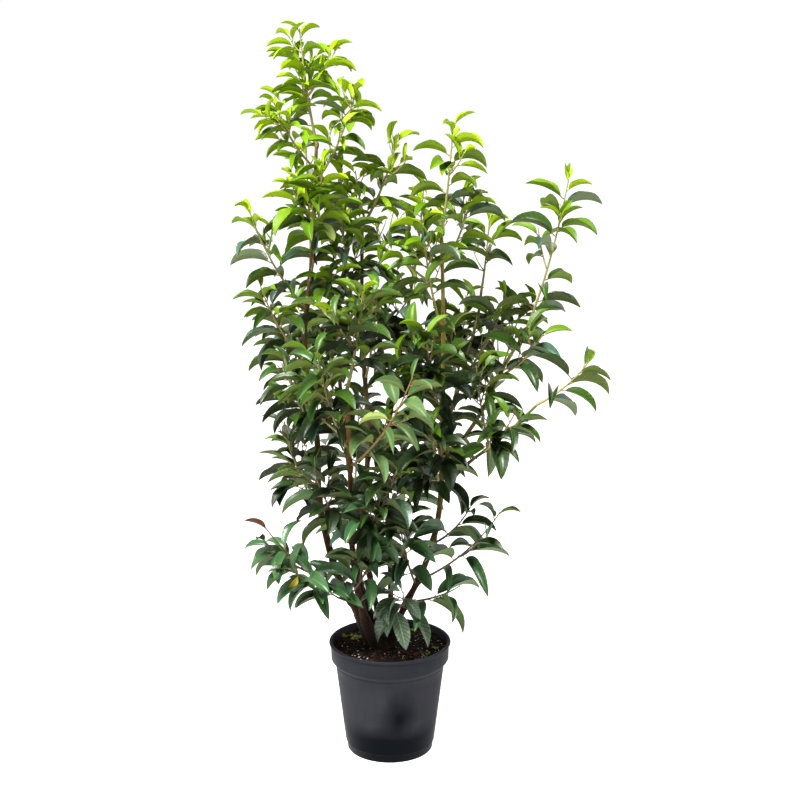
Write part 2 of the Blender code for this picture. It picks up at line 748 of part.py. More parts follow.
def grow_leaves(growing, obstacles, others):
    """Deal out the leaves of one spray, leaving out those that find no room."""
    spray = growing.spray
    for line in growing.lines:
        for place, axis, across, turn, spread, fall, roll, size, depth in leaf_sites(
                line, spray.leaf, spray.droop, growing.dice):
            for shift in TRIES:
                heading, face = leaf_pose(axis, across, turn + shift, spread, fall, roll)
                whole = Leaf(place, heading, face, size, CLEARANCE)
                free = Leaf(place + heading * FREE_FROM, heading, face,
                            size - FREE_FROM, CLEARANCE)
                if fits(whole, free, obstacles, growing, others):
                    growing.leaves.append(whole)
                    growing.solid_leaves.append(
                        leaf_points(place - heading * depth, heading, face, size + depth))
                    break


def build_spray(growing, collection):
    """One closed solid: the main shoot with its side shoots and leaves fused on."""
    spray = growing.spray
    base, *rest = growing.twigs
    base.name = spray.name
    for index, points in enumerate(growing.solid_leaves):
        rest.append(leaf_object(f"{spray.name}_leaf_{index}", points, collection))
    united(base, rest, collection)
    base.data.materials.clear()
    base.data.materials.append(finish(spray.tone))
    return base


def build_limbs(stem_lines, collection):
    """Every stem and bough, with the line and the surface of each by its name."""
    pieces = []
    lines = {}
    trees = {}
    for limb in STEMS + BOUGHS:
        if limb in STEMS:
            _below, line = cut_at_height(stem_lines[limb], FORK)
        else:
            line = smooth_line(limb.ways, LIMB_STEP)
        piece = build_limb(limb, line, trees, collection)
        lines[limb.name] = line
        trees[limb.name] = BVHTree.FromPolygons(*joined_faces([piece]))
        pieces.append(piece)
    return pieces, lines, trees


def plan_sprays(limb_lines, limb_trees, profile, collection):
    """The wood of every spray: chosen shoots first, then the side shoots with room."""
    shoots = {spray: first_lines(spray, limb_lines[spray.parent]) for spray in SPRAYS}
    standing = [*limb_lines.values(), *(line for lines in shoots.values() for line in lines)]
    sprays = []
    for spray, lines in shoots.items():
        lines += side_lines(spray, lines, standing)
        _place, outward = way_out(spray, limb_lines[spray.parent])
        limb_tree = limb_trees[spray.parent]
        sprays.append(Growing(spray, lines, limb_tree, outward, profile, collection))
    return sprays


def main():
    for piece in list(bpy.data.objects):
        bpy.data.objects.remove(piece)
    plant = new_collection("potted_portugal_laurel")
    cutters = new_collection("cutters")

    solids = [build_pot(plant), build_soil(plant)]
    stem_lines = {stem: smooth_line(stem.ways, LIMB_STEP) for stem in STEMS}
    solids.append(build_stool(stem_lines, plant, cutters))

    limbs, limb_lines, limb_trees = build_limbs(stem_lines, plant)
    solids += limbs
    graph = bpy.context.evaluated_depsgraph_get()
    obstacles = [BVHTree.FromObject(piece, graph) for piece in solids]

    profile = three_sided_profile(cutters)
    sprays = plan_sprays(limb_lines, limb_trees, profile, plant)
    for growing in sprays:
        grow_leaves(growing, obstacles, [other for other in sprays if other is not growing])
    for growing in sprays:
        build_spray(growing, plant)
    remove(profile)


main()
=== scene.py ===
"""Looks of the potted portugal laurel: pot, compost, bark, twigs and every single leaf.

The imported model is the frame. Stems and boughs get bark with a relief, and every
leafy mass is grown again from the limb that bears it, by the rule of the part's
source, with finer twigs and leaves of their real size. All sizes are in metres.
"""

import json
import logging
import math
import random
from collections.abc import Iterator
from dataclasses import dataclass, field, replace
from enum import Enum

import bpy
import numpy as np
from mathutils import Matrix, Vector, noise
from mathutils.geometry import intersect_point_line

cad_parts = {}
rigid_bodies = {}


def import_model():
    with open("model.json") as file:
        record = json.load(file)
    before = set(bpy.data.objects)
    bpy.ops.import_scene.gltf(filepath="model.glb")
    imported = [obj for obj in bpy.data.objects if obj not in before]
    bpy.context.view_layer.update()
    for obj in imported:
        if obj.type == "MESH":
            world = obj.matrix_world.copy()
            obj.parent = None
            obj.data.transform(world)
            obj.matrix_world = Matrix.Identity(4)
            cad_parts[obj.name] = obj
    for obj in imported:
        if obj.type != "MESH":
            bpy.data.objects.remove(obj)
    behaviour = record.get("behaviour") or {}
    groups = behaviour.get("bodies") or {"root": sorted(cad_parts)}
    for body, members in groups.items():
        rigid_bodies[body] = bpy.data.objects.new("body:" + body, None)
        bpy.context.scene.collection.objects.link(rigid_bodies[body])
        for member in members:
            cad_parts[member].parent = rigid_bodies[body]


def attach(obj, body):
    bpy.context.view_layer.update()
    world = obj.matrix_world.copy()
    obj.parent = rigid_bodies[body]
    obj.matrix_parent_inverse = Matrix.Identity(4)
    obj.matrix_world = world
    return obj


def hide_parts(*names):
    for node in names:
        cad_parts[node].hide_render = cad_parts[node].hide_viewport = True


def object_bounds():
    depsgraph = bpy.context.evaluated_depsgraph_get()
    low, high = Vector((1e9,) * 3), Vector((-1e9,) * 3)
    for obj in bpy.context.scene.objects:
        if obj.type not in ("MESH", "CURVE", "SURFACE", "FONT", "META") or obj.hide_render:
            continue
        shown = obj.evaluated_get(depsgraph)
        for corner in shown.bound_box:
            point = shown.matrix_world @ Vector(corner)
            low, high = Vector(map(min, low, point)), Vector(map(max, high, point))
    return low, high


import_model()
CAD_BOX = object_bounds()

LOG = logging.getLogger("laurel")
BODY = "root"
UP = Vector((0.0, 0.0, 1.0))
RING_START = (0.31, 0.95, 0.0)  # what the first ring of a line is turned by
BAKE_MAP = "OFBake"  # one leaf's patch, shared by all leaves, which the export keeps

# ---- the plant and its pot ----
PLANT_TOP = 1.3  # about as high as the tallest tip
POT_HEIGHT = 0.206
SOIL_LEVEL = 0.192  # where the stool stands
FORK = 0.258  # where the stool ends and the separate stems begin
STOOL_CENTRE = (-0.016, 0.002)

# ---- steps of the growth rule, as in the part's source ----
LIMB_STEP = 0.060
SHOOT_STEP = 0.050
SHOOT_RADIUS = 0.0026
SHOOT_OFFSET = 0.008
KNEE_OUT = 0.62  # shares of the way out and up at which a shoot bends
KNEE_UP = 0.38
FORK_DROP = 1.3  # how far under its tip a side shoot leaves, for its reach
FORK_LEAST = 0.01
SIDE_TURN = math.radians(137.5)
LEAF_TURN = math.radians(144.0)
LEAF_SPREAD = math.radians(60.0)
LEAF_ROLL = math.radians(28.0)
LEVELLED = 0.5  # share of its slope that a leaf keeps when it turns level
BARE_FOOT = 0.16
YOUNG_LEAVES = 4
YOUNG_SIZE = 0.58
YOUNG_SPREAD = 0.90
OLD_DROOP = 0.60
TRIES = (0.0, 0.5, -0.5, 1.0, -1.0)  # turns in which a leaf looks for room


@dataclass(frozen=True)
class Limb:
    """A stem or a bough: a smooth tapering line through a few way points."""

    name: str
    ways: tuple
    foot_radius: float
    tip_radius: float
    rooted: bool = True  # a stem, which rises from the stool


@dataclass(frozen=True)
class Spray:
    """A leafy shoot with its side shoots, from `height` on its parent limb."""

    name: str
    parent: str
    height: float  # 0 where it goes on from its limb's tip
    tips: tuple  # of the main shoot, then of its first side shoots
    leaf: float = 0.066
    droop: float = 0.52
    airy: bool = False  # without the finest shoots, so that the sky shows through
    kept: float = 1.0  # share of the leaf places that bear a leaf
    bare: float = BARE_FOOT  # share of each shoot below its first leaf


LIMBS = (
    Limb("left_stem",
         ((-0.028, 0.000, 0.185), (-0.055, 0.000, 0.255), (-0.096, 0.015, 0.326),
          (-0.127, 0.030, 0.456), (-0.131, 0.040, 0.571), (-0.151, 0.050, 0.748),
          (-0.137, 0.050, 0.898), (-0.126, 0.045, 1.095)), 0.0070, 0.0028),
    Limb("front_stem",
         ((-0.018, -0.010, 0.185), (-0.048, -0.020, 0.264), (-0.065, -0.045, 0.380),
          (-0.067, -0.100, 0.550), (-0.069, -0.140, 0.700)), 0.0058, 0.0034),
    Limb("middle_stem",
         ((-0.014, 0.006, 0.185), (-0.038, 0.014, 0.260), (-0.057, 0.030, 0.345),
          (-0.040, 0.070, 0.550), (-0.050, 0.090, 0.764), (-0.049, 0.090, 0.948)),
         0.0060, 0.0030),
    Limb("right_stem",
         ((-0.004, -0.002, 0.185), (0.022, -0.004, 0.260), (0.062, -0.010, 0.348),
          (0.086, -0.020, 0.440), (0.092, -0.030, 0.552), (0.092, -0.060, 0.796),
          (0.088, -0.070, 0.950)), 0.0058, 0.0028),
    Limb("back_right_stem",
         ((-0.004, 0.014, 0.185), (0.001, 0.032, 0.262), (0.000, 0.060, 0.340),
          (-0.006, 0.130, 0.530), (0.020, 0.170, 0.713), (0.045, 0.185, 0.860)),
         0.0052, 0.0028),
    Limb("back_left_stem",
         ((-0.014, 0.014, 0.185), (-0.026, 0.034, 0.262), (-0.052, 0.080, 0.370),
          (-0.085, 0.150, 0.545), (-0.098, 0.190, 0.730), (-0.088, 0.205, 0.860)),
         0.0052, 0.0028),
    Limb("right_bough",
         ((0.091, -0.028, 0.535), (0.135, -0.010, 0.592), (0.162, 0.000, 0.632),
          (0.207, 0.010, 0.721), (0.230, 0.010, 0.757)), 0.0040, 0.0026, False),
    Limb("low_right_bough",
         ((0.090, -0.026, 0.495), (0.140, -0.060, 0.556), (0.187, -0.080, 0.598),
          (0.250, -0.090, 0.662)), 0.0032, 0.0022, False),
    Limb("inner_right_bough",
         ((0.092, -0.034, 0.590), (0.120, 0.010, 0.668), (0.156, 0.060, 0.787),
          (0.164, 0.068, 0.840)), 0.0034, 0.0024, False),
)

SPRAYS = (
    # the tall left stem
    Spray("left_top_spray", "left_stem", 0.0,
          ((-0.152, 0.040, 1.285), (-0.100, 0.020, 1.250), (-0.150, 0.070, 1.210)),
          0.052, 0.50, kept=0.86),
    Spray("left_top_west_spray", "left_stem", 1.060, ((-0.195, 0.015, 1.165),), 0.055),
    Spray("left_top_east_spray", "left_stem", 1.040, ((-0.056, 0.010, 1.188),), 0.056, 0.60),
    Spray("left_front_high_spray", "left_stem", 0.860,
          ((-0.112, -0.040, 1.065), (-0.160, -0.045, 1.020)), 0.062),
    Spray("left_back_high_spray", "left_stem", 0.900,
          ((-0.150, 0.140, 1.085), (-0.080, 0.120, 1.040)), 0.062, kept=0.50),
    Spray("left_west_high_spray", "left_stem", 0.815,
          ((-0.240, 0.000, 0.985), (-0.200, 0.010, 0.965)), 0.064, airy=True),
    Spray("left_west_mid_spray", "left_stem", 0.720, ((-0.222, 0.000, 0.850),), 0.066, airy=True),
    Spray("left_west_inner_spray", "left_stem", 0.600,
          ((-0.180, -0.060, 0.738),), 0.068, kept=0.72),
    Spray("left_west_low_spray", "left_stem", 0.470,
          ((-0.178, -0.015, 0.575), (-0.160, -0.060, 0.545)), 0.068, kept=0.62),
    Spray("left_back_mid_spray", "left_stem", 0.600,
          ((-0.205, 0.150, 0.780), (-0.160, 0.160, 0.700)), 0.068, kept=0.72),
    Spray("left_back_low_spray", "left_stem", 0.430, ((-0.195, 0.115, 0.585),), 0.072, kept=0.60),
    # the front stem
    Spray("front_top_spray", "front_stem", 0.0,
          ((-0.042, -0.165, 0.865), (-0.090, -0.175, 0.835)), 0.064, 0.50),
    Spray("front_left_spray", "front_stem", 0.600,
          ((-0.115, -0.200, 0.770), (-0.135, -0.155, 0.690)), 0.068),
    Spray("front_right_spray", "front_stem", 0.565,
          ((0.037, -0.232, 0.735),), 0.066, 0.50, airy=True),
    Spray("front_low_left_spray", "front_stem", 0.430,
          ((-0.125, -0.140, 0.560),), 0.070, 0.75, kept=0.75),
    Spray("front_low_right_spray", "front_stem", 0.410,
          ((0.010, -0.160, 0.560), (-0.030, -0.150, 0.500)), 0.070, 0.75),
    # the middle stem
    Spray("middle_top_spray", "middle_stem", 0.0,
          ((0.015, 0.080, 1.110), (-0.060, 0.090, 1.045)), 0.062, kept=0.66),
    Spray("middle_east_spray", "middle_stem", 0.830, ((0.008, 0.045, 0.985),), 0.062, kept=0.54),
    Spray("middle_front_spray", "middle_stem", 0.680,
          ((-0.020, 0.000, 0.845), (0.045, 0.015, 0.850), (0.015, 0.010, 0.770)), 0.066),
    Spray("middle_west_spray", "middle_stem", 0.760,
          ((-0.085, 0.055, 0.975), (-0.118, 0.010, 0.875)), 0.064),
    Spray("middle_low_spray", "middle_stem", 0.470,
          ((-0.005, 0.010, 0.620), (0.025, 0.030, 0.560)), 0.070, 0.75),
    # the right stem
    Spray("right_top_spray", "right_stem", 0.0, ((0.106, -0.070, 1.130),), 0.060, 0.58, airy=True),
    Spray("right_top_east_spray", "right_stem", 0.905,
          ((0.140, -0.055, 1.020),), 0.060, 0.55, kept=0.60),
    Spray("right_west_spray", "right_stem", 0.800,
          ((0.053, -0.105, 0.985), (0.020, -0.090, 0.920)), 0.064, kept=0.60),
    Spray("right_front_spray", "right_stem", 0.640,
          ((0.060, -0.165, 0.800), (0.020, -0.140, 0.745)), 0.068),
    Spray("right_front_low_spray", "right_stem", 0.500, ((0.072, -0.160, 0.640),), 0.070, 0.75),
    Spray("right_hollow_spray", "right_stem", 0.400, ((0.140, -0.050, 0.468),), 0.066, airy=True),
    Spray("low_right_spray", "right_stem", 0.330,
          ((0.190, -0.090, 0.472), (0.155, -0.105, 0.430)), 0.072, 0.42, airy=True, kept=0.70),
    Spray("lowest_right_spray", "right_stem", 0.285,
          ((0.122, -0.060, 0.328),), 0.074, 0.60, airy=True, kept=0.70),
    # the right boughs
    Spray("right_bough_spray", "right_bough", 0.0,
          ((0.305, -0.020, 1.045),), 0.066, 0.52, airy=True, kept=0.70),
    Spray("right_bough_low_spray", "right_bough", 0.700, ((0.262, -0.045, 0.775),), 0.070),
    Spray("right_bough_back_spray", "right_bough", 0.640,
          ((0.240, 0.090, 0.820), (0.195, 0.080, 0.750)), 0.068, kept=0.66),
    Spray("low_right_bough_spray", "low_right_bough", 0.0,
          ((0.336, -0.105, 0.742),), 0.070, 0.60, airy=True),
    Spray("low_right_bough_front_spray", "low_right_bough", 0.580,
          ((0.208, -0.135, 0.655), (0.170, -0.140, 0.620), (0.150, -0.050, 0.720)),
          0.072, 0.80),
    Spray("inner_right_spray", "inner_right_bough", 0.0,
          ((0.176, 0.070, 0.960),), 0.062, 0.55, kept=0.66),
    Spray("inner_right_east_spray", "inner_right_bough", 0.700,
          ((0.205, 0.040, 0.830),), 0.066, kept=0.75),
    Spray("inner_right_back_spray", "inner_right_bough", 0.665,
          ((0.140, 0.160, 0.815), (0.090, 0.110, 0.790)), 0.068),
    # the back stems
    Spray("back_right_top_spray", "back_right_stem", 0.0,
          ((0.062, 0.190, 1.010), (0.105, 0.185, 0.950)), 0.062, kept=0.50),
    Spray("back_right_east_spray", "back_right_stem", 0.600,
          ((0.120, 0.235, 0.750), (0.060, 0.250, 0.730)), 0.068),
    Spray("back_right_low_spray", "back_right_stem", 0.400,
          ((0.100, 0.150, 0.590), (0.055, 0.185, 0.540)), 0.072),
    Spray("back_left_top_spray", "back_left_stem", 0.0,
          ((-0.072, 0.210, 1.000), (-0.130, 0.215, 0.950)), 0.062, kept=0.72),
    Spray("back_left_west_spray", "back_left_stem", 0.620,
          ((-0.165, 0.255, 0.790), (-0.095, 0.275, 0.760)), 0.068),
    Spray("back_low_spray", "back_left_stem", 0.460,
          ((-0.060, 0.235, 0.610), (-0.120, 0.220, 0.570)), 0.072),
    # the low skirt over the pot
    Spray("low_left_spray", "left_stem", 0.300,
          ((-0.218, -0.090, 0.452), (-0.220, -0.040, 0.405), (-0.170, -0.110, 0.378)),
          0.066, 0.50, airy=True, kept=0.66),
    Spray("low_front_left_spray", "left_stem", 0.280,
          ((-0.110, -0.075, 0.330), (-0.035, -0.092, 0.385)), 0.074, 0.66, bare=0.50, kept=0.80),
    Spray("low_front_spray", "right_stem", 0.272, ((0.024, -0.075, 0.322),), 0.074, 1.00),
    Spray("low_back_spray", "back_left_stem", 0.310,
          ((-0.070, 0.165, 0.430), (-0.010, 0.140, 0.420)), 0.072, 0.80, kept=0.75),
    Spray("front_centre_spray", "right_stem", 0.320, ((0.015, -0.100, 0.480),), 0.068, 0.70),
)


# ---- lines ----
def smooth_line(ways: tuple, step: float) -> list[Vector]:
    """Points about `step` apart on a Catmull-Rom curve through the way points.

    Args:
        ways: the points that the line passes through.
        step: the distance from one point of the result to the next.

    Returns:
        The points, from the first way point to the last.
    """
    given = [Vector(way) for way in ways]
    ends = [2 * given[0] - given[1], *given, 2 * given[-1] - given[-2]]
    line = [given[0]]
    for before, start, end, after in zip(ends, ends[1:], ends[2:], ends[3:]):
        pieces = max(1, round((end - start).length / step))
        for index in range(1, pieces + 1):
            t = index / pieces
            line.append(0.5 * (2 * start + (end - before) * t
                               + (2 * before - 5 * start + 4 * end - after) * t ** 2
                               + (3 * start - before - 3 * end + after) * t ** 3))
    return line


def bowed_line(foot: Vector, tip: Vector, step: float = SHOOT_STEP) -> list[Vector]:
    """A shoot's line: it leaves outwards and turns up towards the light.

    Args:
        foot: where it leaves its limb.
        tip: where it ends.
        step: the distance between two points of the result.

    Returns:
        The points from foot to tip.
    """
    across = Vector((tip.x - foot.x, tip.y - foot.y, 0.0))
    knee = foot + across * KNEE_OUT + UP * (tip.z - foot.z) * KNEE_UP
    pieces = max(2, round((tip - foot).length / step))
    shares = [index / pieces for index in range(pieces + 1)]
    return [foot * (1 - t) ** 2 + knee * 2 * t * (1 - t) + tip * t ** 2 for t in shares]


def cut_at_height(line: list[Vector], height: float) -> tuple[list[Vector], list[Vector]]:
    """Split a rising line at a height.

    Args:
        line: the points, from low to high.
        height: where it is cut.

    Returns:
        The points below and the points above, the cut itself in both.
    """
    for index, (low, high) in enumerate(zip(line, line[1:])):
        if high.z > height:
            place = low.lerp(high, (height - low.z) / (high.z - low.z))
            return [*line[:index + 1], place], [place, *line[index + 1:]]
    return line, line[-1:]


def at_length(line: list[Vector], distance: float) -> tuple[Vector, Vector]:
    """The place and the direction at a distance along a line.

    Args:
        line: the points of the line.
        distance: how far from its first point.

    Returns:
        The place, and the unit direction of the line there.
    """
    for low, high in zip(line, line[1:]):
        stretch = (high - low).length
        if distance <= stretch:
            break
        distance -= stretch
    return low.lerp(high, min(1.0, distance / stretch)), (high - low).normalized()


def line_length(line: list[Vector]) -> float:
    """The length of a line."""
    return sum((high - low).length for low, high in zip(line, line[1:]))


def distance_to(point: Vector, line: list[Vector]) -> float:
    """The distance from a point to a line.

    Args:
        point: the point.
        line: the points of the line.

    Returns:
        The distance to the nearest stretch between two of them.
    """
    nearest = math.inf
    for low, high in zip(line, line[1:]):
        place, share = intersect_point_line(point, low, high)
        place = low if share < 0.0 else high if share > 1.0 else place
        nearest = min(nearest, (point - place).length)
    return nearest


def lengths_along(line: np.ndarray) -> np.ndarray:
    """The distance of each point of a line from its first one."""
    steps = np.linalg.norm(np.diff(line, axis=0), axis=1)
    return np.concatenate([[0.0], np.cumsum(steps)])


def square_to(direction: Vector, axis: Vector) -> Vector:
    """The part of a direction that is square to an axis, made a unit long."""
    return (direction - axis * direction.dot(axis)).normalized()


def turned_about(axis: Vector, turn: float) -> Vector:
    """A unit direction square to an axis, at a turn about it."""
    across = axis.orthogonal().normalized()
    return across * math.cos(turn) + axis.cross(across) * math.sin(turn)


def circle(sides: int) -> np.ndarray:
    """The corners of a circle of radius 1, as pairs of x and y."""
    angles = np.arange(sides) * math.tau / sides
    return np.stack([np.cos(angles), np.sin(angles)], axis=-1)


# ---- meshes ----
def put_in_scene(name: str, data: bpy.types.ID) -> bpy.types.Object:
    """Make an object and link it to the scene.

    Args:
        name: its name.
        data: its mesh, lamp or camera.

    Returns:
        The object.
    """
    made = bpy.data.objects.new(name, data)
    bpy.context.scene.collection.objects.link(made)
    return made


@dataclass
class Shape:
    """Faces gathered in arrays, which become one object at the end."""

    points: list = field(default_factory=list)
    corners: list = field(default_factory=list)  # of the faces, as numbers of points
    counts: list = field(default_factory=list)  # of corners, by face
    places: list = field(default_factory=list)  # of the corners, on the map
    rims: list = field(default_factory=list)  # whether a point is on a sharp edge
    total: int = 0  # of the points

    def add_stacks(self, rings: np.ndarray, places: np.ndarray | None = None,
                   rim: tuple[int, ...] = ()) -> None:
        """Add closed bodies of one pattern, each a stack of rings with two caps.

        Args:
            rings: the points, by body, by ring and by place in the ring.
            places: a map coordinate for each corner of one body.
            rim: places in a ring where the body has a sharp edge.
        """
        bodies, tall, sides, _axes = rings.shape
        index = np.arange(tall * sides).reshape(tall, sides)
        turned = np.roll(index, -1, axis=1)
        quads = np.stack([index[:-1], turned[:-1], turned[1:], index[1:]], axis=-1)
        corners = np.concatenate([quads.ravel(), index[0][::-1], index[-1]])
        counts = np.concatenate([np.full(quads.size // 4, 4), np.full(2, sides)])
        shifts = self.total + np.arange(bodies)[:, None] * tall * sides
        self.points.append(rings.reshape(-1, 3))
        self.corners.append((corners + shifts).ravel())
        self.counts.append(np.tile(counts, bodies))
        if places is None:
            places = np.zeros((len(corners), 2))
        self.places.append(np.tile(places, (bodies, 1)))
        self.rims.append(np.tile(np.isin(np.arange(tall * sides) % sides, rim), bodies))
        self.total += bodies * tall * sides

    def build(self, name: str, material: bpy.types.Material, crease: float | None = None,
              mapped: bool = False) -> bpy.types.Object:
        """Make the object.

        Args:
            name: the piece's name.
            material: its finish.
            crease: the angle past which an edge is drawn sharp, or None.
            mapped: whether the piece keeps its map coordinates.

        Returns:
            The new object, in the scene.
        """
        corners = np.concatenate(self.corners).astype(np.int32)
        counts = np.concatenate(self.counts)
        starts = np.concatenate([[0], np.cumsum(counts)[:-1]]).astype(np.int32)
        mesh = bpy.data.meshes.new(name)
        mesh.vertices.add(self.total)
        mesh.vertices.foreach_set("co", np.concatenate(self.points).astype(np.float32).ravel())
        mesh.loops.add(len(corners))
        mesh.loops.foreach_set("vertex_index", corners)
        mesh.polygons.add(len(counts))
        mesh.polygons.foreach_set("loop_start", starts)
        mesh.update(calc_edges=True)
        mesh.shade_smooth()
        if mapped:
            layer = mesh.uv_layers.new(name=BAKE_MAP)
            layer.uv.foreach_set("vector", np.concatenate(self.places).astype(np.float32).ravel())
        if crease is not None:
            mesh.set_sharp_from_angle(angle=crease)
        rims = np.concatenate(self.rims)
        if rims.any():
            ends = np.empty(len(mesh.edges) * 2, np.int32)
            mesh.edges.foreach_get("vertices", ends)
            sharp = mesh.attributes.new("sharp_edge", "BOOLEAN", "EDGE")
            sharp.data.foreach_set("value", rims[ends].reshape(-1, 2).all(axis=1))
        mesh.materials.append(material)
        return put_in_scene(name, mesh)


def rings_along(line: np.ndarray, radii: np.ndarray, sides: int) -> np.ndarray:
    """Rings round a line, turned as little as can be from one to the next.

    Args:
        line: the points of the line.
        radii: one radius for each point.
        sides: how many corners a ring has.

    Returns:
        The corners, by ring and by place in the ring.
    """
    ahead = np.gradient(line, axis=0)
    ahead /= np.linalg.norm(ahead, axis=1)[:, None]
    east, north = circle(sides).T
    across = np.cross(ahead[0], RING_START)
    rings = []
    for place, direction, radius in zip(line, ahead, radii):
        across = across - direction * across.dot(direction)
        across /= np.linalg.norm(across)
        other = np.cross(direction, across)
        round_it = np.outer(east, across) + np.outer(north, other)
        rings.append(place + round_it * radius)
    return np.array(rings)


def settle(piece: bpy.types.Object, slot: str, *nodes: str) -> None:
    """Let a piece ride on the plant and hide what it stands for.

    Args:
        piece: the piece.
        slot: the kind of its finish; not used.
        *nodes: the solids that it replaces.
    """
    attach(piece, BODY)
    if nodes:
        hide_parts(*nodes)
    LOG.info("%s: %d faces", piece.name, len(piece.data.polygons))


def apply_modifiers(piece: bpy.types.Object) -> None:
    """Turn the evaluated shape of a piece into its own mesh.

    Args:
        piece: the piece, which loses its modifiers.
    """
    graph = bpy.context.evaluated_depsgraph_get()
    mesh = bpy.data.meshes.new_from_object(piece.evaluated_get(graph))
    piece.modifiers.clear()
    piece.data = mesh
    mesh.name = piece.name


# ---- shaders ----
def rgb(red: int, green: int, blue: int) -> tuple[float, float, float, float]:
    """A colour as the shader takes it.

    Args:
        red: the red as screens take it, from 0 to 255.
        green: the green.
        blue: the blue.

    Returns:
        The linear colour, with an alpha of 1.
    """
    shares = (value / 255 for value in (red, green, blue))
    linear = (s / 12.92 if s <= 0.04045 else ((s + 0.055) / 1.055) ** 2.4 for s in shares)
    return (*linear, 1.0)


class Value:
    """A socket of a material, on which sums can be written as in Python."""

    def __init__(self, graph: "Graph", socket: bpy.types.NodeSocket) -> None:
        """Wrap the output `socket` of a node of `graph`."""
        self.graph = graph
        self.socket = socket

    def __add__(self, other: "Value | float") -> "Value":
        """The sum."""
        return self.graph.maths("ADD", self, other)

    def __radd__(self, other: float) -> "Value":
        """The sum, with the number first."""
        return self.graph.maths("ADD", other, self)

    def __sub__(self, other: "Value | float") -> "Value":
        """The difference."""
        return self.graph.maths("SUBTRACT", self, other)

    def __rsub__(self, other: float) -> "Value":
        """The difference, with the number first."""
        return self.graph.maths("SUBTRACT", other, self)

    def __mul__(self, other: "Value | float") -> "Value":
        """The product."""
        return self.graph.maths("MULTIPLY", self, other)

    def __rmul__(self, other: float) -> "Value":
        """The product, with the number first."""
        return self.graph.maths("MULTIPLY", other, self)

    def __pow__(self, other: float) -> "Value":
        """The power."""
        return self.graph.maths("POWER", self, other)

    def __gt__(self, other: "Value | float") -> "Value":
        """1 where this is the greater, else 0."""
        return self.graph.maths("GREATER_THAN", self, other)

    def __abs__(self) -> "Value":
        """The size without its sign."""
        return self.graph.maths("ABSOLUTE", self)

    def fraction(self) -> "Value":
        """What is left of it above the next lower whole number."""
        return self.graph.maths("FRACT", self)

    def between(self, low: float, high: float) -> "Value":
        """0 below `low`, 1 above `high`, and an even slope between them."""
        return self.graph.node(
            "ShaderNodeMapRange", {"clamp": True},
            {"Value": self, "From Min": low, "From Max": high})


class Graph:
    """The nodes of one material or of the world, round its one shader."""

    def __init__(self, name: str, kind: str = "materials", shader: str = "Principled BSDF") -> None:
        """Start a material, or something else of bpy.data that has nodes.

        Args:
            name: its name.
            kind: the list of bpy.data that it goes into.
            shader: the node that it comes with.
        """
        self.owner = getattr(bpy.data, kind).new(name)
        self.owner.use_nodes = True
        self.tree = self.owner.node_tree
        self.shader = self.tree.nodes[shader]

    def feed(self, socket: bpy.types.NodeSocket, value: object) -> None:
        """Link a value to a socket, or set the socket to a number or colour.

        Args:
            socket: the input.
            value: what it gets.
        """
        if isinstance(value, Value):
            self.tree.links.new(value.socket, socket)
        else:
            socket.default_value = value

    def node(self, kind: str, settings: dict | None = None, sockets: dict | None = None,
             output: int | str = 0) -> Value:
        """Add any node.

        Args:
            kind: the node's type.
            settings: properties, which are set first.
            sockets: values or links by the socket's name or number.
            output: which output is handed back.

        Returns:
            That output.
        """
        made = self.tree.nodes.new(kind)
        for name, value in (settings or {}).items():
            setattr(made, name, value)
        for name, value in (sockets or {}).items():
            self.feed(made.inputs[name], value)
        return Value(self, made.outputs[output])

    def maths(self, operation: str, *terms: "Value | float") -> Value:
        """A sum on values."""
        return self.node("ShaderNodeMath", {"operation": operation}, dict(enumerate(terms)))

    def mix(self, share: "Value | float", first: object, second: object,
            blend: str = "MIX") -> Value:
        """Go from one colour to another.

        Args:
            share: 0 for the first, 1 for the second.
            first: a colour or a link to one.
            second: a colour or a link to one.
            blend: how the second is laid over the first.

        Returns:
            The mixed colour.
        """
        return self.node("ShaderNodeMix", {"data_type": "RGBA", "blend_type": blend},
                         {0: share, 6: first, 7: second}, output=2)

    def split(self, vector: Value) -> tuple[Value, Value, Value]:
        """The three numbers of a vector."""
        made = self.node("ShaderNodeSeparateXYZ", None, {0: vector})
        return tuple(Value(self, socket) for socket in made.socket.node.outputs)

    def vector(self, operation: str, *terms: object, output: int | str = 0) -> Value:
        """A sum on vectors."""
        return self.node("ShaderNodeVectorMath", {"operation": operation},
                         dict(enumerate(terms)), output)

    def place(self, *stretch: float) -> Value:
        """The place on the object in metres, stretched along each axis."""
        where = self.node("ShaderNodeTexCoord", output="Object")
        return self.vector("MULTIPLY", where, stretch or (1.0, 1.0, 1.0))

    def noise(self, vector: Value, scale: float, detail: float = 3.0) -> Value:
        """Soft random patches between 0 and 1."""
        return self.node("ShaderNodeTexNoise", None,
                         {"Vector": vector, "Scale": scale, "Detail": detail})

    def cells(self, vector: Value, scale: float) -> Value:
        """The distance from the middle of the nearest of many random cells."""
        return self.node("ShaderNodeTexVoronoi", None, {"Vector": vector, "Scale": scale})

    def dress(self, colour: object, roughness: object, bump: Value | None = None,
              depth: float = 0.0, **constants: float) -> bpy.types.Material:
        """Feed the shader.

        Args:
            colour: the base colour.
            roughness: the roughness.
            bump: a height between 0 and 1, or None.
            depth: what a height of 1 stands for.
            **constants: other sockets by name, with _ for a blank.

        Returns:
            The finished material.
        """
        self.feed(self.shader.inputs["Base Color"], colour)
        self.feed(self.shader.inputs["Roughness"], roughness)
        for name, value in constants.items():
            self.feed(self.shader.inputs[name.replace("_", " ")], value)
        if bump is not None:
            normal = self.node("ShaderNodeBump", None,
                               {"Height": bump, "Distance": depth, "Strength": 1.0})
            self.feed(self.shader.inputs["Normal"], normal)
        return self.owner


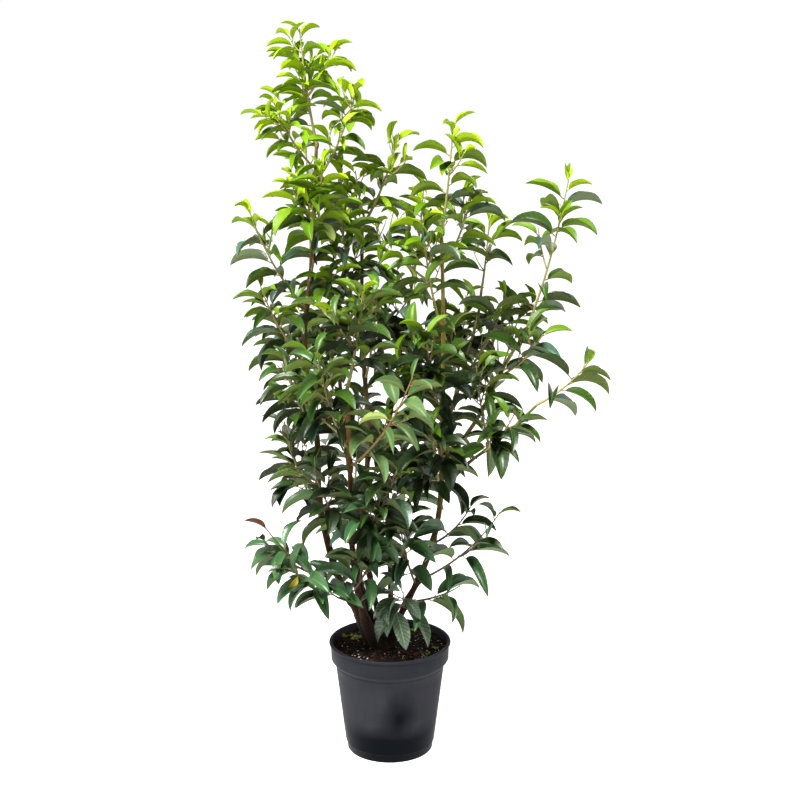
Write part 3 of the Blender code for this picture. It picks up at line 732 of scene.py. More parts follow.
@dataclass(frozen=True)
class LeafFinish:
    """A leathery leaf, with a glossy upper side and a paler, dull under side."""

    name: str
    upper: tuple
    under: tuple
    rib: tuple = rgb(150, 152, 70)  # and its veins
    roughness: float = 0.40
    shine: float = 0.22
    relief: float = 0.0002
    veining: float = 0.16  # how much the veins show above
    stalk: tuple = rgb(132, 104, 66)
    rib_width: tuple = (0.02, 0.10)  # shares of a half where it starts to fade and ends
    veins: float = 11.0  # in a leaf's length
    vein_lean: float = 1.7
    vein_edge: float = 6.0  # the higher, the narrower they are
    rib_above: float = 0.42  # how much the rib shows on either side
    rib_below: float = 0.60
    veining_below: float = 0.22
    mottle_below: float = 0.15
    darkest: float = 0.80  # shares of the upper side's own colour
    lightest: float = 1.15
    duller_below: float = 0.26
    stalk_end: float = 0.125
    stalk_fade: float = 0.03

    def shade(self, share: float) -> tuple[float, float, float, float]:
        """The upper side's colour, darker or lighter."""
        return (*(min(1.0, share * part) for part in self.upper[:3]), 1.0)

    def material(self) -> bpy.types.Material:
        """Make the finish out of nodes that read the leaf's own map.

        Returns:
            The finished material.
        """
        graph = Graph(self.name)
        here = graph.node("ShaderNodeUVMap", {"uv_map": BAKE_MAP})
        along, across, _up = graph.split(here)
        below = across > 0.5
        off_rib = abs((across * 2.0).fraction() * 2.0 - 1.0)
        rib = 1.0 - off_rib.between(*self.rib_width)
        wave = (along * self.veins - off_rib * self.vein_lean).fraction()
        vein = (1.0 - abs(wave * 2.0 - 1.0)) ** self.vein_edge
        mottle = graph.noise(graph.vector("MULTIPLY", here, (3.0, 3.0, 1.0)), 4.0, 4.0)
        top = graph.mix(mottle, self.shade(self.darkest), self.shade(self.lightest))
        top = graph.mix(vein * self.veining, top, self.rib)
        top = graph.mix(rib * self.rib_above, top, self.rib)
        pale = vein * self.veining_below + mottle * self.mottle_below
        bottom = graph.mix(pale, self.under, self.rib)
        bottom = graph.mix(rib * self.rib_below, bottom, self.rib)
        blade = graph.mix(below, top, bottom)
        stalk = 1.0 - along.between(self.stalk_end, self.stalk_end + self.stalk_fade)
        colour = graph.mix(stalk, blade, self.stalk)
        roughness = (self.roughness + (mottle - 0.5) * 0.16 + below * self.duller_below
                     + vein * 0.05)
        # ribs and veins are sunk above and stand out below
        height = (1.0 - below * 2.0) * (vein * 0.4 + rib) * -0.5 + mottle * 0.6
        return graph.dress(colour, roughness, height, self.relief, Specular_IOR_Level=self.shine)


class Tone(Enum):
    """The leaves' colours, from the shade of the pot to the newest tips, with a darker copy as
    painted shade for inner leaves and a blue-grey copy as painted sheen.
    """

    DUSK = LeafFinish("dusk_leaf", rgb(52, 90, 48), rgb(74, 96, 50), rgb(112, 128, 78), 0.36, 0.42)
    # painted shade: a darker copy for leaves deep in the crown, where shade falls
    SHADE = LeafFinish("shade_leaf", rgb(22, 38, 15), rgb(30, 42, 18), rgb(80, 90, 42), 0.42, 0.20)
    DEEP = LeafFinish("deep_leaf", rgb(29, 53, 19), rgb(50, 64, 25), rgb(104, 114, 50), 0.34, 0.30)
    # painted sheen: a blue-grey copy that stands for the sky's reflection on glossy leaves
    TEAL = LeafFinish("teal_leaf", rgb(54, 84, 62), rgb(76, 92, 46), rgb(124, 138, 96), 0.36, 0.44)
    MID = LeafFinish("mid_leaf", rgb(40, 69, 14), rgb(66, 82, 23), rgb(112, 124, 44), 0.36, 0.26)
    FRESH = LeafFinish("fresh_leaf", rgb(68, 101, 10), rgb(86, 109, 16), rgb(120, 138, 38))
    SPRING = LeafFinish("spring_leaf", rgb(90, 122, 6), rgb(98, 128, 4), rgb(128, 146, 36),
                        0.46, 0.16, 0.00006, stalk=rgb(140, 136, 46))
    LIME = LeafFinish("lime_leaf", rgb(124, 152, 6), rgb(130, 158, 6), rgb(140, 160, 34),
                      0.48, 0.14, 0.00003, 0.10, rgb(140, 156, 38))
    OLIVE = LeafFinish("olive_leaf", rgb(54, 88, 34), rgb(98, 116, 42), rgb(130, 142, 64),
                       0.38, 0.30)
    BLUSH = LeafFinish("blush_leaf", rgb(74, 104, 58), rgb(92, 118, 56), rgb(146, 110, 74))
    SILVER = LeafFinish("silver_leaf", rgb(58, 78, 56), rgb(90, 108, 74), rgb(160, 174, 142),
                        0.36, 0.44, 0.0003, 0.36)
    PALE = LeafFinish("pale_leaf", rgb(122, 146, 58), rgb(146, 166, 84), rgb(160, 164, 100))
    YELLOW = LeafFinish("yellow_leaf", rgb(166, 146, 40), rgb(176, 160, 66), rgb(150, 136, 64),
                        0.50)
    WITHERED = LeafFinish("withered_leaf", rgb(76, 50, 28), rgb(104, 80, 46), rgb(90, 66, 40),
                          0.72)


@dataclass(frozen=True)
class Accent:
    """One leaf that differs from those round it: its tone, and how it hangs."""

    tone: Tone
    near: tuple  # the leaf that sits nearest to this place is the one
    tip: tuple  # what it points at
    face: tuple  # where its upper side looks
    length: float
    arc: float = 0.7
    fold: float = 0.45
    width: float = 0.40


ACCENTS = (
    Accent(Tone.PALE, (-0.078, -0.050, 0.934), (-0.061, -0.060, 0.886), (0.1, 1.0, 0.2), 0.046,
           0.5, 0.6),
    Accent(Tone.PALE, (-0.077, -0.160, 0.727), (-0.122, -0.170, 0.699), (0.0, 0.3, 1.0), 0.054,
           1.2, 1.0),
    Accent(Tone.PALE, (-0.027, -0.190, 0.680), (-0.071, -0.200, 0.652), (0.0, 0.4, 1.0), 0.056,
           1.0, 1.0),
    Accent(Tone.WITHERED, (-0.216, -0.090, 0.469), (-0.265, -0.090, 0.464), (0.0, -0.5, 1.0),
           0.046, 0.9, 0.9),
    Accent(Tone.YELLOW, (-0.183, -0.080, 0.357), (-0.187, -0.080, 0.314), (0.3, -1.0, 0.2),
           0.038, 0.5, 0.7),
    Accent(Tone.WITHERED, (-0.111, 0.000, 0.904), (-0.123, 0.000, 0.881), (0.0, -1.0, 0.2),
           0.026, 1.0, 1.0),
    Accent(Tone.SILVER, (0.003, -0.070, 0.290), (-0.001, -0.090, 0.242), (-0.2, -1.0, 0.4), 0.058),
    Accent(Tone.SILVER, (0.011, -0.070, 0.274), (0.034, -0.100, 0.205), (0.1, -1.0, 0.4), 0.080),
    Accent(Tone.SILVER, (0.034, -0.080, 0.303), (0.066, -0.100, 0.266), (0.3, -1.0, 0.6), 0.054),
    Accent(Tone.SILVER, (0.002, -0.050, 0.289), (-0.033, -0.070, 0.270), (-0.3, -1.0, 0.6), 0.046),
)


@dataclass(frozen=True)
class BarkFinish:
    """Thin bark: dark and rough at the foot, greener and smoother up the plant."""

    name: str
    foot: tuple
    top: tuple
    foot_height: float  # over which it changes from one to the other
    top_height: float
    cracks: tuple = rgb(60, 40, 28)
    pores: tuple = rgb(150, 128, 96)
    patch_scale: float = 42.0
    fibre_scale: float = 900.0
    fibre_squash: float = 0.12  # of the height, which draws the fibres out
    pore_scale: float = 190.0
    pore_squash: float = 2.6  # which makes the pores lie across
    crack_share: float = 0.55
    pore_share: float = 0.25
    depth: float = 0.0006
    shine: float = 0.15

    def material(self) -> bpy.types.Material:
        """Make the finish: colour by height, fine cracks and pale pores across.

        Returns:
            The finished material.
        """
        graph = Graph(self.name)
        where = graph.place()
        height = graph.split(where)[2]
        patches = graph.noise(where, self.patch_scale)
        rise = height.between(self.foot_height, self.top_height)
        share = (rise + (patches - 0.5) * 0.5).between(0.0, 1.0)
        colour = graph.mix(share, self.foot, self.top)
        fibres = graph.noise(graph.place(1.0, 1.0, self.fibre_squash), self.fibre_scale, 4.0)
        dark = graph.mix(fibres.between(0.35, 0.65), self.cracks, rgb(255, 255, 255))
        colour = graph.mix(self.crack_share, colour, dark, "MULTIPLY")
        cells = graph.cells(graph.place(1.0, 1.0, self.pore_squash), self.pore_scale)
        pores = 1.0 - cells.between(0.10, 0.22)
        colour = graph.mix(pores * self.pore_share, colour, self.pores)
        roughness = 0.78 - share * 0.22
        relief = fibres * 0.7 + pores * 0.5 + patches * 0.4
        return graph.dress(colour, roughness, relief, self.depth, Specular_IOR_Level=self.shine)


@dataclass(frozen=True)
class PlasticFinish:
    """Satin black moulded plastic, dusty and rubbed pale in places, with painted shade towards the
    foot and a painted dark reflection on the front.
    """

    name: str = "charcoal_plastic"
    colour: tuple = rgb(1, 4, 9)
    # the pale dust; where it thins, the dark plastic shows through as painted shade and a painted
    # dark reflection
    dust_and_shade: tuple = rgb(45, 45, 50)
    foot_shade_heights: tuple = (0.046, 0.074)  # heights over which the painted shade at the foot gives way to dust
    band: float = 0.170  # the band over this height is rubbed cleaner
    band_rubbed: float = 0.2
    dark_reflection_spot: tuple = (0.017, -0.090, 0.053)  # middle of a painted dark reflection on the front, with its height squashed
    dark_reflection_reach: tuple = (0.008, 0.038)  # from where the dust comes back round the painted dark reflection to where it is full
    dark_reflection_squash: float = 0.6  # which makes the spot taller than wide
    streak_squash: float = 0.08  # of the height, which draws the streaks out
    streak_scale: float = 90.0
    spot_scale: float = 16.0
    grain_scale: float = 1400.0
    depth: float = 0.00004
    shine: float = 0.04

    def material(self) -> bpy.types.Material:
        """Make the finish: dust that thins towards the foot as painted shade, and round a spot on
        the front as a painted dark reflection.

        Returns:
            The finished material.
        """
        graph = Graph(self.name)
        where = graph.place()
        height = graph.split(where)[2]
        apart = graph.vector("DISTANCE", graph.place(1.0, 1.0, self.dark_reflection_squash),
                             self.dark_reflection_spot, output="Value")
        streaks = graph.noise(graph.place(1.0, 1.0, self.streak_squash), self.streak_scale)
        spots = graph.noise(where, self.spot_scale, 5.0)
        grain = graph.noise(where, self.grain_scale, 2.0)
        # painted shade: the dust thins towards the foot, so the pot darkens where it meets the
        # floor
        foot = (height + (spots - 0.5) * 0.02).between(*self.foot_shade_heights)
        # painted dark reflection: the dust thins round a spot on the front, which darkens it
        off_dark_reflection = (apart + (spots - 0.5) * 0.03).between(*self.dark_reflection_reach)
        dust_and_shade = foot * off_dark_reflection * (1.0 - (height > self.band) * self.band_rubbed)
        dust_and_shade = dust_and_shade * (0.55 + spots * 0.45 + (streaks - 0.5) * 0.3)
        colour = graph.mix(dust_and_shade, self.colour, self.dust_and_shade)
        roughness = 0.40 + dust_and_shade * 0.16 + grain * 0.05
        return graph.dress(colour, roughness, grain * 0.6 + streaks * 0.4, self.depth,
                           Specular_IOR_Level=self.shine)


@dataclass(frozen=True)
class CrumbFinish:
    """A dull, grainy finish in two colours, for what the compost is made of."""

    name: str
    colour: tuple
    other: tuple
    scale: float = 260.0
    roughness: float = 0.92

    def material(self) -> bpy.types.Material:
        """Make the finish: two colours in patches, with a coarse grain.

        Returns:
            The finished material.
        """
        graph = Graph(self.name)
        patches = graph.noise(graph.place(), self.scale, 4.0)
        grain = graph.noise(graph.place(), self.scale * 6.0, 2.0)
        colour = graph.mix(patches.between(0.35, 0.65), self.colour, self.other)
        return graph.dress(colour, self.roughness + grain * 0.06, grain + patches, 0.0006,
                           Specular_IOR_Level=0.12)


@dataclass(frozen=True)
class TwigFinish:
    """The smooth skin of a young shoot."""

    name: str
    colour: tuple
    other: tuple
    pores: tuple = rgb(168, 150, 110)

    def material(self) -> bpy.types.Material:
        """Make the finish: one colour that shifts a little, with fine pores.

        Returns:
            The finished material.
        """
        graph = Graph(self.name)
        patches = graph.noise(graph.place(1.0, 1.0, 0.4), 120.0, 3.0)
        pores = 1.0 - graph.cells(graph.place(), 520.0).between(0.12, 0.25)
        colour = graph.mix(patches.between(0.3, 0.7), self.colour, self.other)
        colour = graph.mix(pores * 0.3, colour, self.pores)
        return graph.dress(colour, 0.5 + patches * 0.15, pores * 0.5 + patches * 0.5, 0.0004)


class Skin(Enum):
    """What covers young shoots: woody low down, green above, and red on one spray."""

    WOODY = TwigFinish("woody_twig", rgb(96, 76, 50), rgb(74, 56, 38))
    GREEN = TwigFinish("green_twig", rgb(118, 124, 56), rgb(138, 122, 74))
    RED = TwigFinish("red_twig", rgb(142, 100, 58), rgb(120, 118, 60))


# ---- pot ----
@dataclass
class NurseryPot:
    """The turned plastic pot with a rolled lip and an upright band."""

    lip_radius: float = 0.111
    band_radius: float = 0.1065
    band_bottom: float = 0.172
    step_radius: float = 0.0995
    step_bottom: float = 0.164
    wall_foot_radius: float = 0.0815
    foot_top: float = 0.016
    foot_radius: float = 0.078
    wall: float = 0.002
    floor: float = 0.003
    corner: float = 0.003  # between the floor and the wall, inside
    middle: float = 0.004  # radius of the flat in the middle of floor and underside
    bead: float = 0.0028  # radius of the lip's roll
    bead_start: float = 0.62  # in half turns from the outside
    bead_sweep: float = 1.12
    bead_parts: int = 10
    rib: float = 0.0004  # height of the fine raised line under the band
    rib_drop: float = 0.0016
    rib_reach: float = 0.0005
    wall_drop: float = 0.02  # from the step to the first of the wall's rings
    wall_part: float = 0.0215
    wall_parts: int = 6
    sides: int = 144

    def outline(self) -> np.ndarray:
        """The section, from the middle of the inner floor over the lip to the underside.

        Returns:
            Pairs of radius and height.
        """
        wall, bead, lip = self.wall, self.bead, self.lip_radius
        inner = [
            (self.middle, self.floor),
            (self.foot_radius - wall - self.corner, self.floor),
            (self.foot_radius - wall, self.floor + self.corner),
            (self.step_radius - wall, self.step_bottom),
            (self.band_radius - 2 * wall, self.band_bottom),
            (lip - bead - 2 * wall, POT_HEIGHT - bead),  # up to the roll
            (lip - bead - 1.6 * wall, POT_HEIGHT - 0.4 * bead),
        ]
        turns = [math.pi * (self.bead_start - self.bead_sweep * part / self.bead_parts)
                 for part in range(self.bead_parts + 1)]
        roll = [(lip - bead + bead * math.cos(turn), POT_HEIGHT - bead + bead * math.sin(turn))
                for turn in turns]
        slope = (self.step_radius - self.wall_foot_radius) / (self.step_bottom - self.foot_top)

        def wall_at(drop: float) -> tuple[float, float]:
            """The wall's radius and height at a drop below the step."""
            return self.step_radius - slope * drop, self.step_bottom - drop

        rib_radius, rib_height = wall_at(self.rib_drop)
        outer = [
            (lip - bead, POT_HEIGHT - 2.6 * bead),  # from the roll to the band
            (self.band_radius + 0.0008, self.band_bottom + 0.0020),
            (self.band_radius, self.band_bottom + 0.0004),  # round its lower edge
            (self.band_radius - 0.0016, self.band_bottom - 0.0014),
            (self.step_radius + 0.0010, self.step_bottom + 0.0012),  # in to the wall
            wall_at(0.0004),
            wall_at(self.rib_drop - self.rib_reach),  # over the raised line
            (rib_radius + self.rib, rib_height),
            wall_at(self.rib_drop + self.rib_reach),
            *(wall_at(self.wall_drop + self.wall_part * part) for part in range(self.wall_parts)),
            (self.wall_foot_radius, self.foot_top),  # in to the foot
            (self.wall_foot_radius - 0.0012, self.foot_top - 0.0008),
            (self.foot_radius + 0.0015, self.foot_top - 0.0022),
            (self.foot_radius + 0.0004, 0.0016),  # round the foot's edge
            (self.foot_radius - 0.0010, 0.0),
            (self.middle, 0.0),
        ]
        return np.array(inner + roll + outer)

    def build(self) -> None:
        """Make the pot in place of its solid."""
        outline = self.outline()
        flat = outline[:, None, :1] * circle(self.sides)
        height = np.broadcast_to(outline[:, None, 1:], (*flat.shape[:2], 1))
        shape = Shape()
        shape.add_stacks(np.concatenate([flat, height], axis=-1)[None, :, ::-1])
        piece = shape.build("nursery_pot", PlasticFinish().material(), math.radians(40.0))
        settle(piece, "pot_plastic", "pot")


# ---- compost ----
@dataclass(frozen=True)
class CrumbKind:
    """One kind of thing that lies in the compost."""

    name: str
    count: int
    size: tuple[float, float]  # least and greatest length
    flatness: tuple[float, float]  # width and thickness, as shares of the length
    finish: CrumbFinish


@dataclass
class Compost:
    """Peaty compost with crumbs, bark chips and perlite, and a few seedlings."""

    radius: float = 0.1019
    depth: float = 0.030
    rings: int = 46
    sides: int = 128
    foot: float = 0.95  # width of the body's underside
    centre: float = 0.02  # size of the surface's innermost ring
    level: float = 0.1945
    mound: float = 0.003  # height of the rise round the stool
    mound_spread: float = 0.002  # in square metres
    roughness: float = 0.0022
    lumps: tuple = ((70.0, 1.0), (190.0, 0.6), (520.0, 0.35))  # radians a metre, strength
    waves: int = 5  # for each size of lump
    seed: int = 7
    dark: CrumbFinish = CrumbFinish("compost", rgb(9, 6, 5), rgb(24, 16, 12), 180.0)
    kinds: tuple = (
        CrumbKind("peat_crumbs", 1700, (0.0016, 0.0042), (0.6, 0.8),
                  CrumbFinish("peat", rgb(16, 12, 10), rgb(40, 27, 20))),
        CrumbKind("bark_chips", 420, (0.0030, 0.0090), (0.40, 0.30),
                  CrumbFinish("bark_chip", rgb(104, 60, 36), rgb(40, 24, 16))),
        CrumbKind("perlite", 120, (0.0014, 0.0034), (0.9, 0.8),
                  CrumbFinish("perlite_grain", rgb(236, 234, 228), rgb(196, 190, 180))),
    )
    seedlings: tuple = ((-0.084, 0.040), (-0.074, 0.044), (-0.066, 0.036), (-0.058, 0.034),
                        (-0.052, 0.026), (-0.064, 0.018), (0.062, -0.054), (0.070, -0.048),
                        (0.084, -0.018), (0.040, 0.072))
    seedling_leaves: tuple = (3, 5)  # least and greatest number, and likewise below
    seedling_rise: tuple = (0.4, 1.0)
    seedling_size: tuple = (0.007, 0.011)
    seedling_arc: tuple = (0.8, 1.3)
    seedling_sunk: float = 0.001
    green: LeafFinish = LeafFinish("seedling_leaf", rgb(92, 108, 14), rgb(104, 118, 22),
                                   rgb(110, 112, 30))
    crumb_sides: int = 6
    crumb_levels: tuple = ((-0.5, 0.45), (0.0, 1.0), (0.5, 0.5))  # height and width of a ring
    crumb_uneven: tuple = (0.72, 1.2)
    crumb_turns: tuple = ((0, 2, 0.6), (1, 2, 0.6), (0, 1, math.pi))  # axes, most radians
    crumb_rise: float = 0.12  # how far its middle is over the surface, for its length
    rim_gap: float = 0.004

    def height(self, x: np.ndarray, y: np.ndarray) -> np.ndarray:
        """The level of the surface: a low mound with lumps of three sizes.

        Args:
            x: places across.
            y: places in depth.

        Returns:
            The heights there.
        """
        level = self.level + self.mound * np.exp(-(x ** 2 + y ** 2) / self.mound_spread)
        dice = np.random.default_rng(self.seed)
        for pace, strength in self.lumps:
            for _ in range(self.waves):
                turn, shift = dice.uniform(0.0, math.tau, 2)
                run = x * math.cos(turn) + y * math.sin(turn)
                level = level + self.roughness * strength * np.sin(run * pace + shift) / 3
        return level

    def surface(self) -> Shape:
        """The compost's body under its uneven surface.

        Returns:
            One closed body: the ring of its underside, then rings in to the middle.
        """
        radii = self.radius * np.linspace(1.0, self.centre, self.rings) ** 0.8
        flat = radii[:, None, None] * circle(self.sides)
        top = np.concatenate([flat, self.height(flat[..., :1], flat[..., 1:])], axis=-1)
        low = top[:1].copy()
        low[..., 2] = SOIL_LEVEL - self.depth
        low[..., :2] *= self.foot
        shape = Shape()
        shape.add_stacks(np.concatenate([low, top])[None])
        return shape

    def crumbs(self, kind: CrumbKind) -> Shape:
        """Many small angular bodies, half sunk in the surface.

        Args:
            kind: what they are.

        Returns:
            All of them as one shape.
        """
        dice = np.random.default_rng(len(kind.name))
        reach = (self.radius - self.rim_gap) * np.sqrt(dice.uniform(0.01, 1.0, kind.count))
        turn = dice.uniform(0.0, math.tau, kind.count)
        x, y = reach * np.cos(turn), reach * np.sin(turn)
        long = dice.uniform(*kind.size, kind.count)
        wide, thick = kind.flatness
        levels = np.array(self.crumb_levels)
        ring = circle(self.crumb_sides) * (1.0, wide)
        bodies = np.zeros((kind.count, len(levels), self.crumb_sides, 3))
        bodies[..., :2] = ring * levels[None, :, None, 1:]
        bodies[..., 2] = levels[None, :, :1] * thick
        bodies *= dice.uniform(*self.crumb_uneven, bodies.shape)
        bodies *= long[:, None, None, None] / 2
        for first, second, swing in self.crumb_turns:
            angle = dice.uniform(-swing, swing, kind.count)[:, None, None]
            a = bodies[..., first] * np.cos(angle) - bodies[..., second] * np.sin(angle)
            b = bodies[..., first] * np.sin(angle) + bodies[..., second] * np.cos(angle)
            bodies[..., first], bodies[..., second] = a, b
        seat = np.stack([x, y, self.height(x, y) + self.crumb_rise * long], axis=-1)
        shape = Shape()
        shape.add_stacks(bodies + seat[:, None, None, :])
        return shape

    def sprout(self, leaves: "LeafBatch") -> None:
        """Add the seedlings' round leaves.

        Args:
            leaves: the batch that they go into.
        """
        dice = random.Random("seedlings")
        for x, y in self.seedlings:
            level = float(self.height(np.array(x), np.array(y)))
            foot = Vector((x, y, level - self.seedling_sunk))
            turn = dice.uniform(0.0, math.tau)
            for _ in range(dice.randint(*self.seedling_leaves)):
                turn += LEAF_TURN
                out = Vector((math.cos(turn), math.sin(turn), 0.0))
                heading = (out + UP * dice.uniform(*self.seedling_rise)).normalized()
                form = LeafForm(dice.uniform(*self.seedling_size), width=0.60,
                                arc=dice.uniform(*self.seedling_arc),
                                fold=0.15, wave=0.1, twist=0.0)
                leaves.add(Leaf(foot, heading, square_to(UP, heading), form))

    def build(self) -> None:
        """Make the compost in place of its solid, with what lies and grows on it."""
        piece = self.surface().build("compost", self.dark.material(), math.radians(60.0))
        settle(piece, "soil", "soil")
        for kind in self.kinds:
            piece = self.crumbs(kind).build(kind.name, kind.finish.material(),
                                            math.radians(30.0))
            settle(piece, "soil")
        leaves = LeafBatch()
        self.sprout(leaves)
        settle(leaves.build("seedlings", self.green.material()), "young_leaf")


# ---- wood ----
@dataclass
class Wood:
    """The stool, the stems and the boughs, with the relief of their bark."""

    sides: int = 22
    step: float = 0.005
    old_bark: BarkFinish = BarkFinish("old_bark", rgb(24, 14, 9), rgb(52, 32, 20), 0.20, 0.45)
    stem_bark: BarkFinish = BarkFinish("stem_bark", rgb(46, 25, 14), rgb(112, 92, 42), 0.30, 1.00)
    tan_bark: BarkFinish = BarkFinish("tan_bark", rgb(48, 27, 15), rgb(140, 124, 56), 0.30, 0.76)
    russet_bark: BarkFinish = BarkFinish("russet_bark", rgb(50, 26, 15), rgb(128, 90, 36),
                                         0.34, 0.66)
    bough_bark: BarkFinish = BarkFinish("bough_bark", rgb(84, 70, 36), rgb(116, 114, 52), 0.5, 0.8)
    collar: float = 0.26  # how much a limb swells where a shoot leaves it
    collar_length: float = 0.007
    node_gap: float = 0.019  # from one old leaf scar to the next
    node_swell: float = 0.07
    old_stems: tuple = ("left_stem", "front_stem")
    old_swell: float = 0.6  # how much thicker an old stem is just over the stool
    old_length: float = 0.024
    old_stub: tuple = (2.0, 1.6)  # how thick a stub is for its stem, at the soil and on top
    young_stub: tuple = (1.6, 1.05)
    sunk: float = 0.006  # how deep a stem starts in its stub
    flare: tuple = ((0.0285, -0.006), (0.0270, 0.002), (0.0215, 0.008), (0.0165, 0.014),
                    (0.0130, 0.020), (0.0070, 0.024))  # radius, and height over the soil
    flare_sides: int = 32
    voxel: float = 0.0014
    soft_rounds: int = 3
    limb_relief: tuple = (0.07, 90.0)  # strength, and knobs a metre
    stub_relief: tuple = (0.10, 70.0)
    flare_relief: tuple = (0.22, 40.0)
    knobs_round: float = 1.1
    furrows_round: float = 3.4
    furrow_length: float = 0.7  # the lower, the longer
    furrow_depth: float = 0.5  # as a share of a knob's

    def relief(self, rings: np.ndarray, line: np.ndarray, strength: float,
               scale: float) -> np.ndarray:
        """Push each corner in or out: knobs and long furrows.

        Args:
            rings: the corners of a limb.
            line: its middle line.
            strength: the largest change, as a share of the radius.
            scale: how many knobs a metre has along the limb.

        Returns:
            The moved corners.
        """
        moved = rings.copy()
        for ring, middle in zip(moved, line):
            for index, corner in enumerate(ring):
                out = corner - middle
                where = Vector(out / np.linalg.norm(out))
                knobs = noise.noise(where * self.knobs_round + Vector(middle) * scale)
                round_it = (where * self.furrows_round).xy
                furrow = noise.noise(Vector((*round_it, middle[2] * scale * self.furrow_length)))
                push = strength * (knobs + self.furrow_depth * furrow)
                ring[index] = middle + out * (1.0 + push)
        return moved

    def radii(self, limb: Limb, line: np.ndarray, shoots: list[Vector]) -> np.ndarray:
        """The thickness along a limb: its taper, the leaf scars and the branch collars.

        Args:
            limb: the limb.
            line: its middle line.
            shoots: where shoots leave it.

        Returns:
            A radius for each point of the line.
        """
        along = lengths_along(line)
        share = along / along[-1]
        radii = limb.foot_radius + (limb.tip_radius - limb.foot_radius) * share
        radii *= 1.0 + self.node_swell * np.cos(along / self.node_gap * math.tau) ** 16
        if limb.name in self.old_stems:
            radii *= 1.0 + self.old_swell * np.exp(-along / self.old_length)
        for place in shoots:
            apart = np.linalg.norm(line - np.array(place), axis=1)
            radii *= 1.0 + self.collar * np.exp(-(apart / self.collar_length) ** 2)
        return radii

    def finish_of(self, limb: Limb) -> BarkFinish:
        """The bark of a limb: two of the stems have a colour of their own."""
        own = {"right_stem": self.tan_bark, "front_stem": self.russet_bark}
        return own.get(limb.name, self.stem_bark if limb.rooted else self.bough_bark)

    def build_limb(self, limb: Limb, shoots: list[Vector]) -> None:
        """Make one stem or bough in place of its solid.

        Args:
            limb: the stem or bough.
            shoots: where shoots leave it.
        """
        line = smooth_line(limb.ways, self.step)
        if limb.rooted:
            line = cut_at_height(line, FORK - self.sunk)[1]
        line = np.array(line)
        rings = rings_along(line, self.radii(limb, line, shoots), self.sides)
        shape = Shape()
        shape.add_stacks(self.relief(rings, line, *self.limb_relief)[None])
        finish = self.finish_of(limb)
        material = bpy.data.materials.get(finish.name) or finish.material()
        piece = shape.build(limb.name + "_bark", material)
        settle(piece, "bark" if limb.rooted else "green_bark", limb.name)

    def build_stool(self) -> None:
        """Make the woody foot: stubs and flare melted into one gnarled body."""
        shape = Shape()
        for limb in LIMBS:
            if not limb.rooted:
                continue
            line = np.array(cut_at_height(smooth_line(limb.ways, self.step), FORK)[0])
            share = np.linspace(0.0, 1.0, len(line))
            low, high = self.old_stub if limb.name in self.old_stems else self.young_stub
            swell = low + (high - low) * share ** 2
            rings = rings_along(line, limb.foot_radius * swell, self.sides)
            shape.add_stacks(self.relief(rings, line, *self.stub_relief)[None])
        centre = np.array([(*STOOL_CENTRE, SOIL_LEVEL + rise) for _radius, rise in self.flare])
        flare = np.tile(centre[:, None], (1, self.flare_sides, 1))
        radii = np.array([radius for radius, _rise in self.flare])
        flare[..., :2] += radii[:, None, None] * circle(self.flare_sides)
        shape.add_stacks(self.relief(flare, centre, *self.flare_relief)[None])
        piece = shape.build("stool_bark", self.old_bark.material())
        melt = piece.modifiers.new("melt", "REMESH")
        melt.mode = "VOXEL"
        melt.voxel_size = self.voxel
        melt.use_smooth_shade = True
        soften = piece.modifiers.new("soften", "SMOOTH")
        soften.factor = 0.5
        soften.iterations = self.soft_rounds
        apply_modifiers(piece)
        settle(piece, "bark", "stool")


# ---- leaves ----
@dataclass(frozen=True)
class LeafForm:
    """How long a leaf is and how its blade is bent."""

    length: float
    width: float  # share of the length
    arc: float  # how far the blade bends down, in radians
    fold: float  # how steeply its halves rise from the rib, in radians
    wave: float  # how far the edge waves, as a share of the half width
    twist: float  # how far the tip is turned about the rib, in radians


@dataclass(frozen=True)
class Leaf:
    """One leaf: where it sits, how it lies and its form."""

    root: Vector
    heading: Vector
    face: Vector
    form: LeafForm
    ribbed: tuple = (0.35, 0.6, 0.8, 1.0)  # shares of the rib that need room

    def spine(self) -> list[Vector]:
        """A few points along the rib, to find room for the leaf.

        Returns:
            The points, from near its foot to its tip.
        """
        places = []
        for share in self.ribbed:
            rise = self.form.length * self.form.arc * 0.5 * share * (1.0 - share)
            run = self.root + self.heading * self.form.length * share
            places.append(run + self.face * rise)
        return places


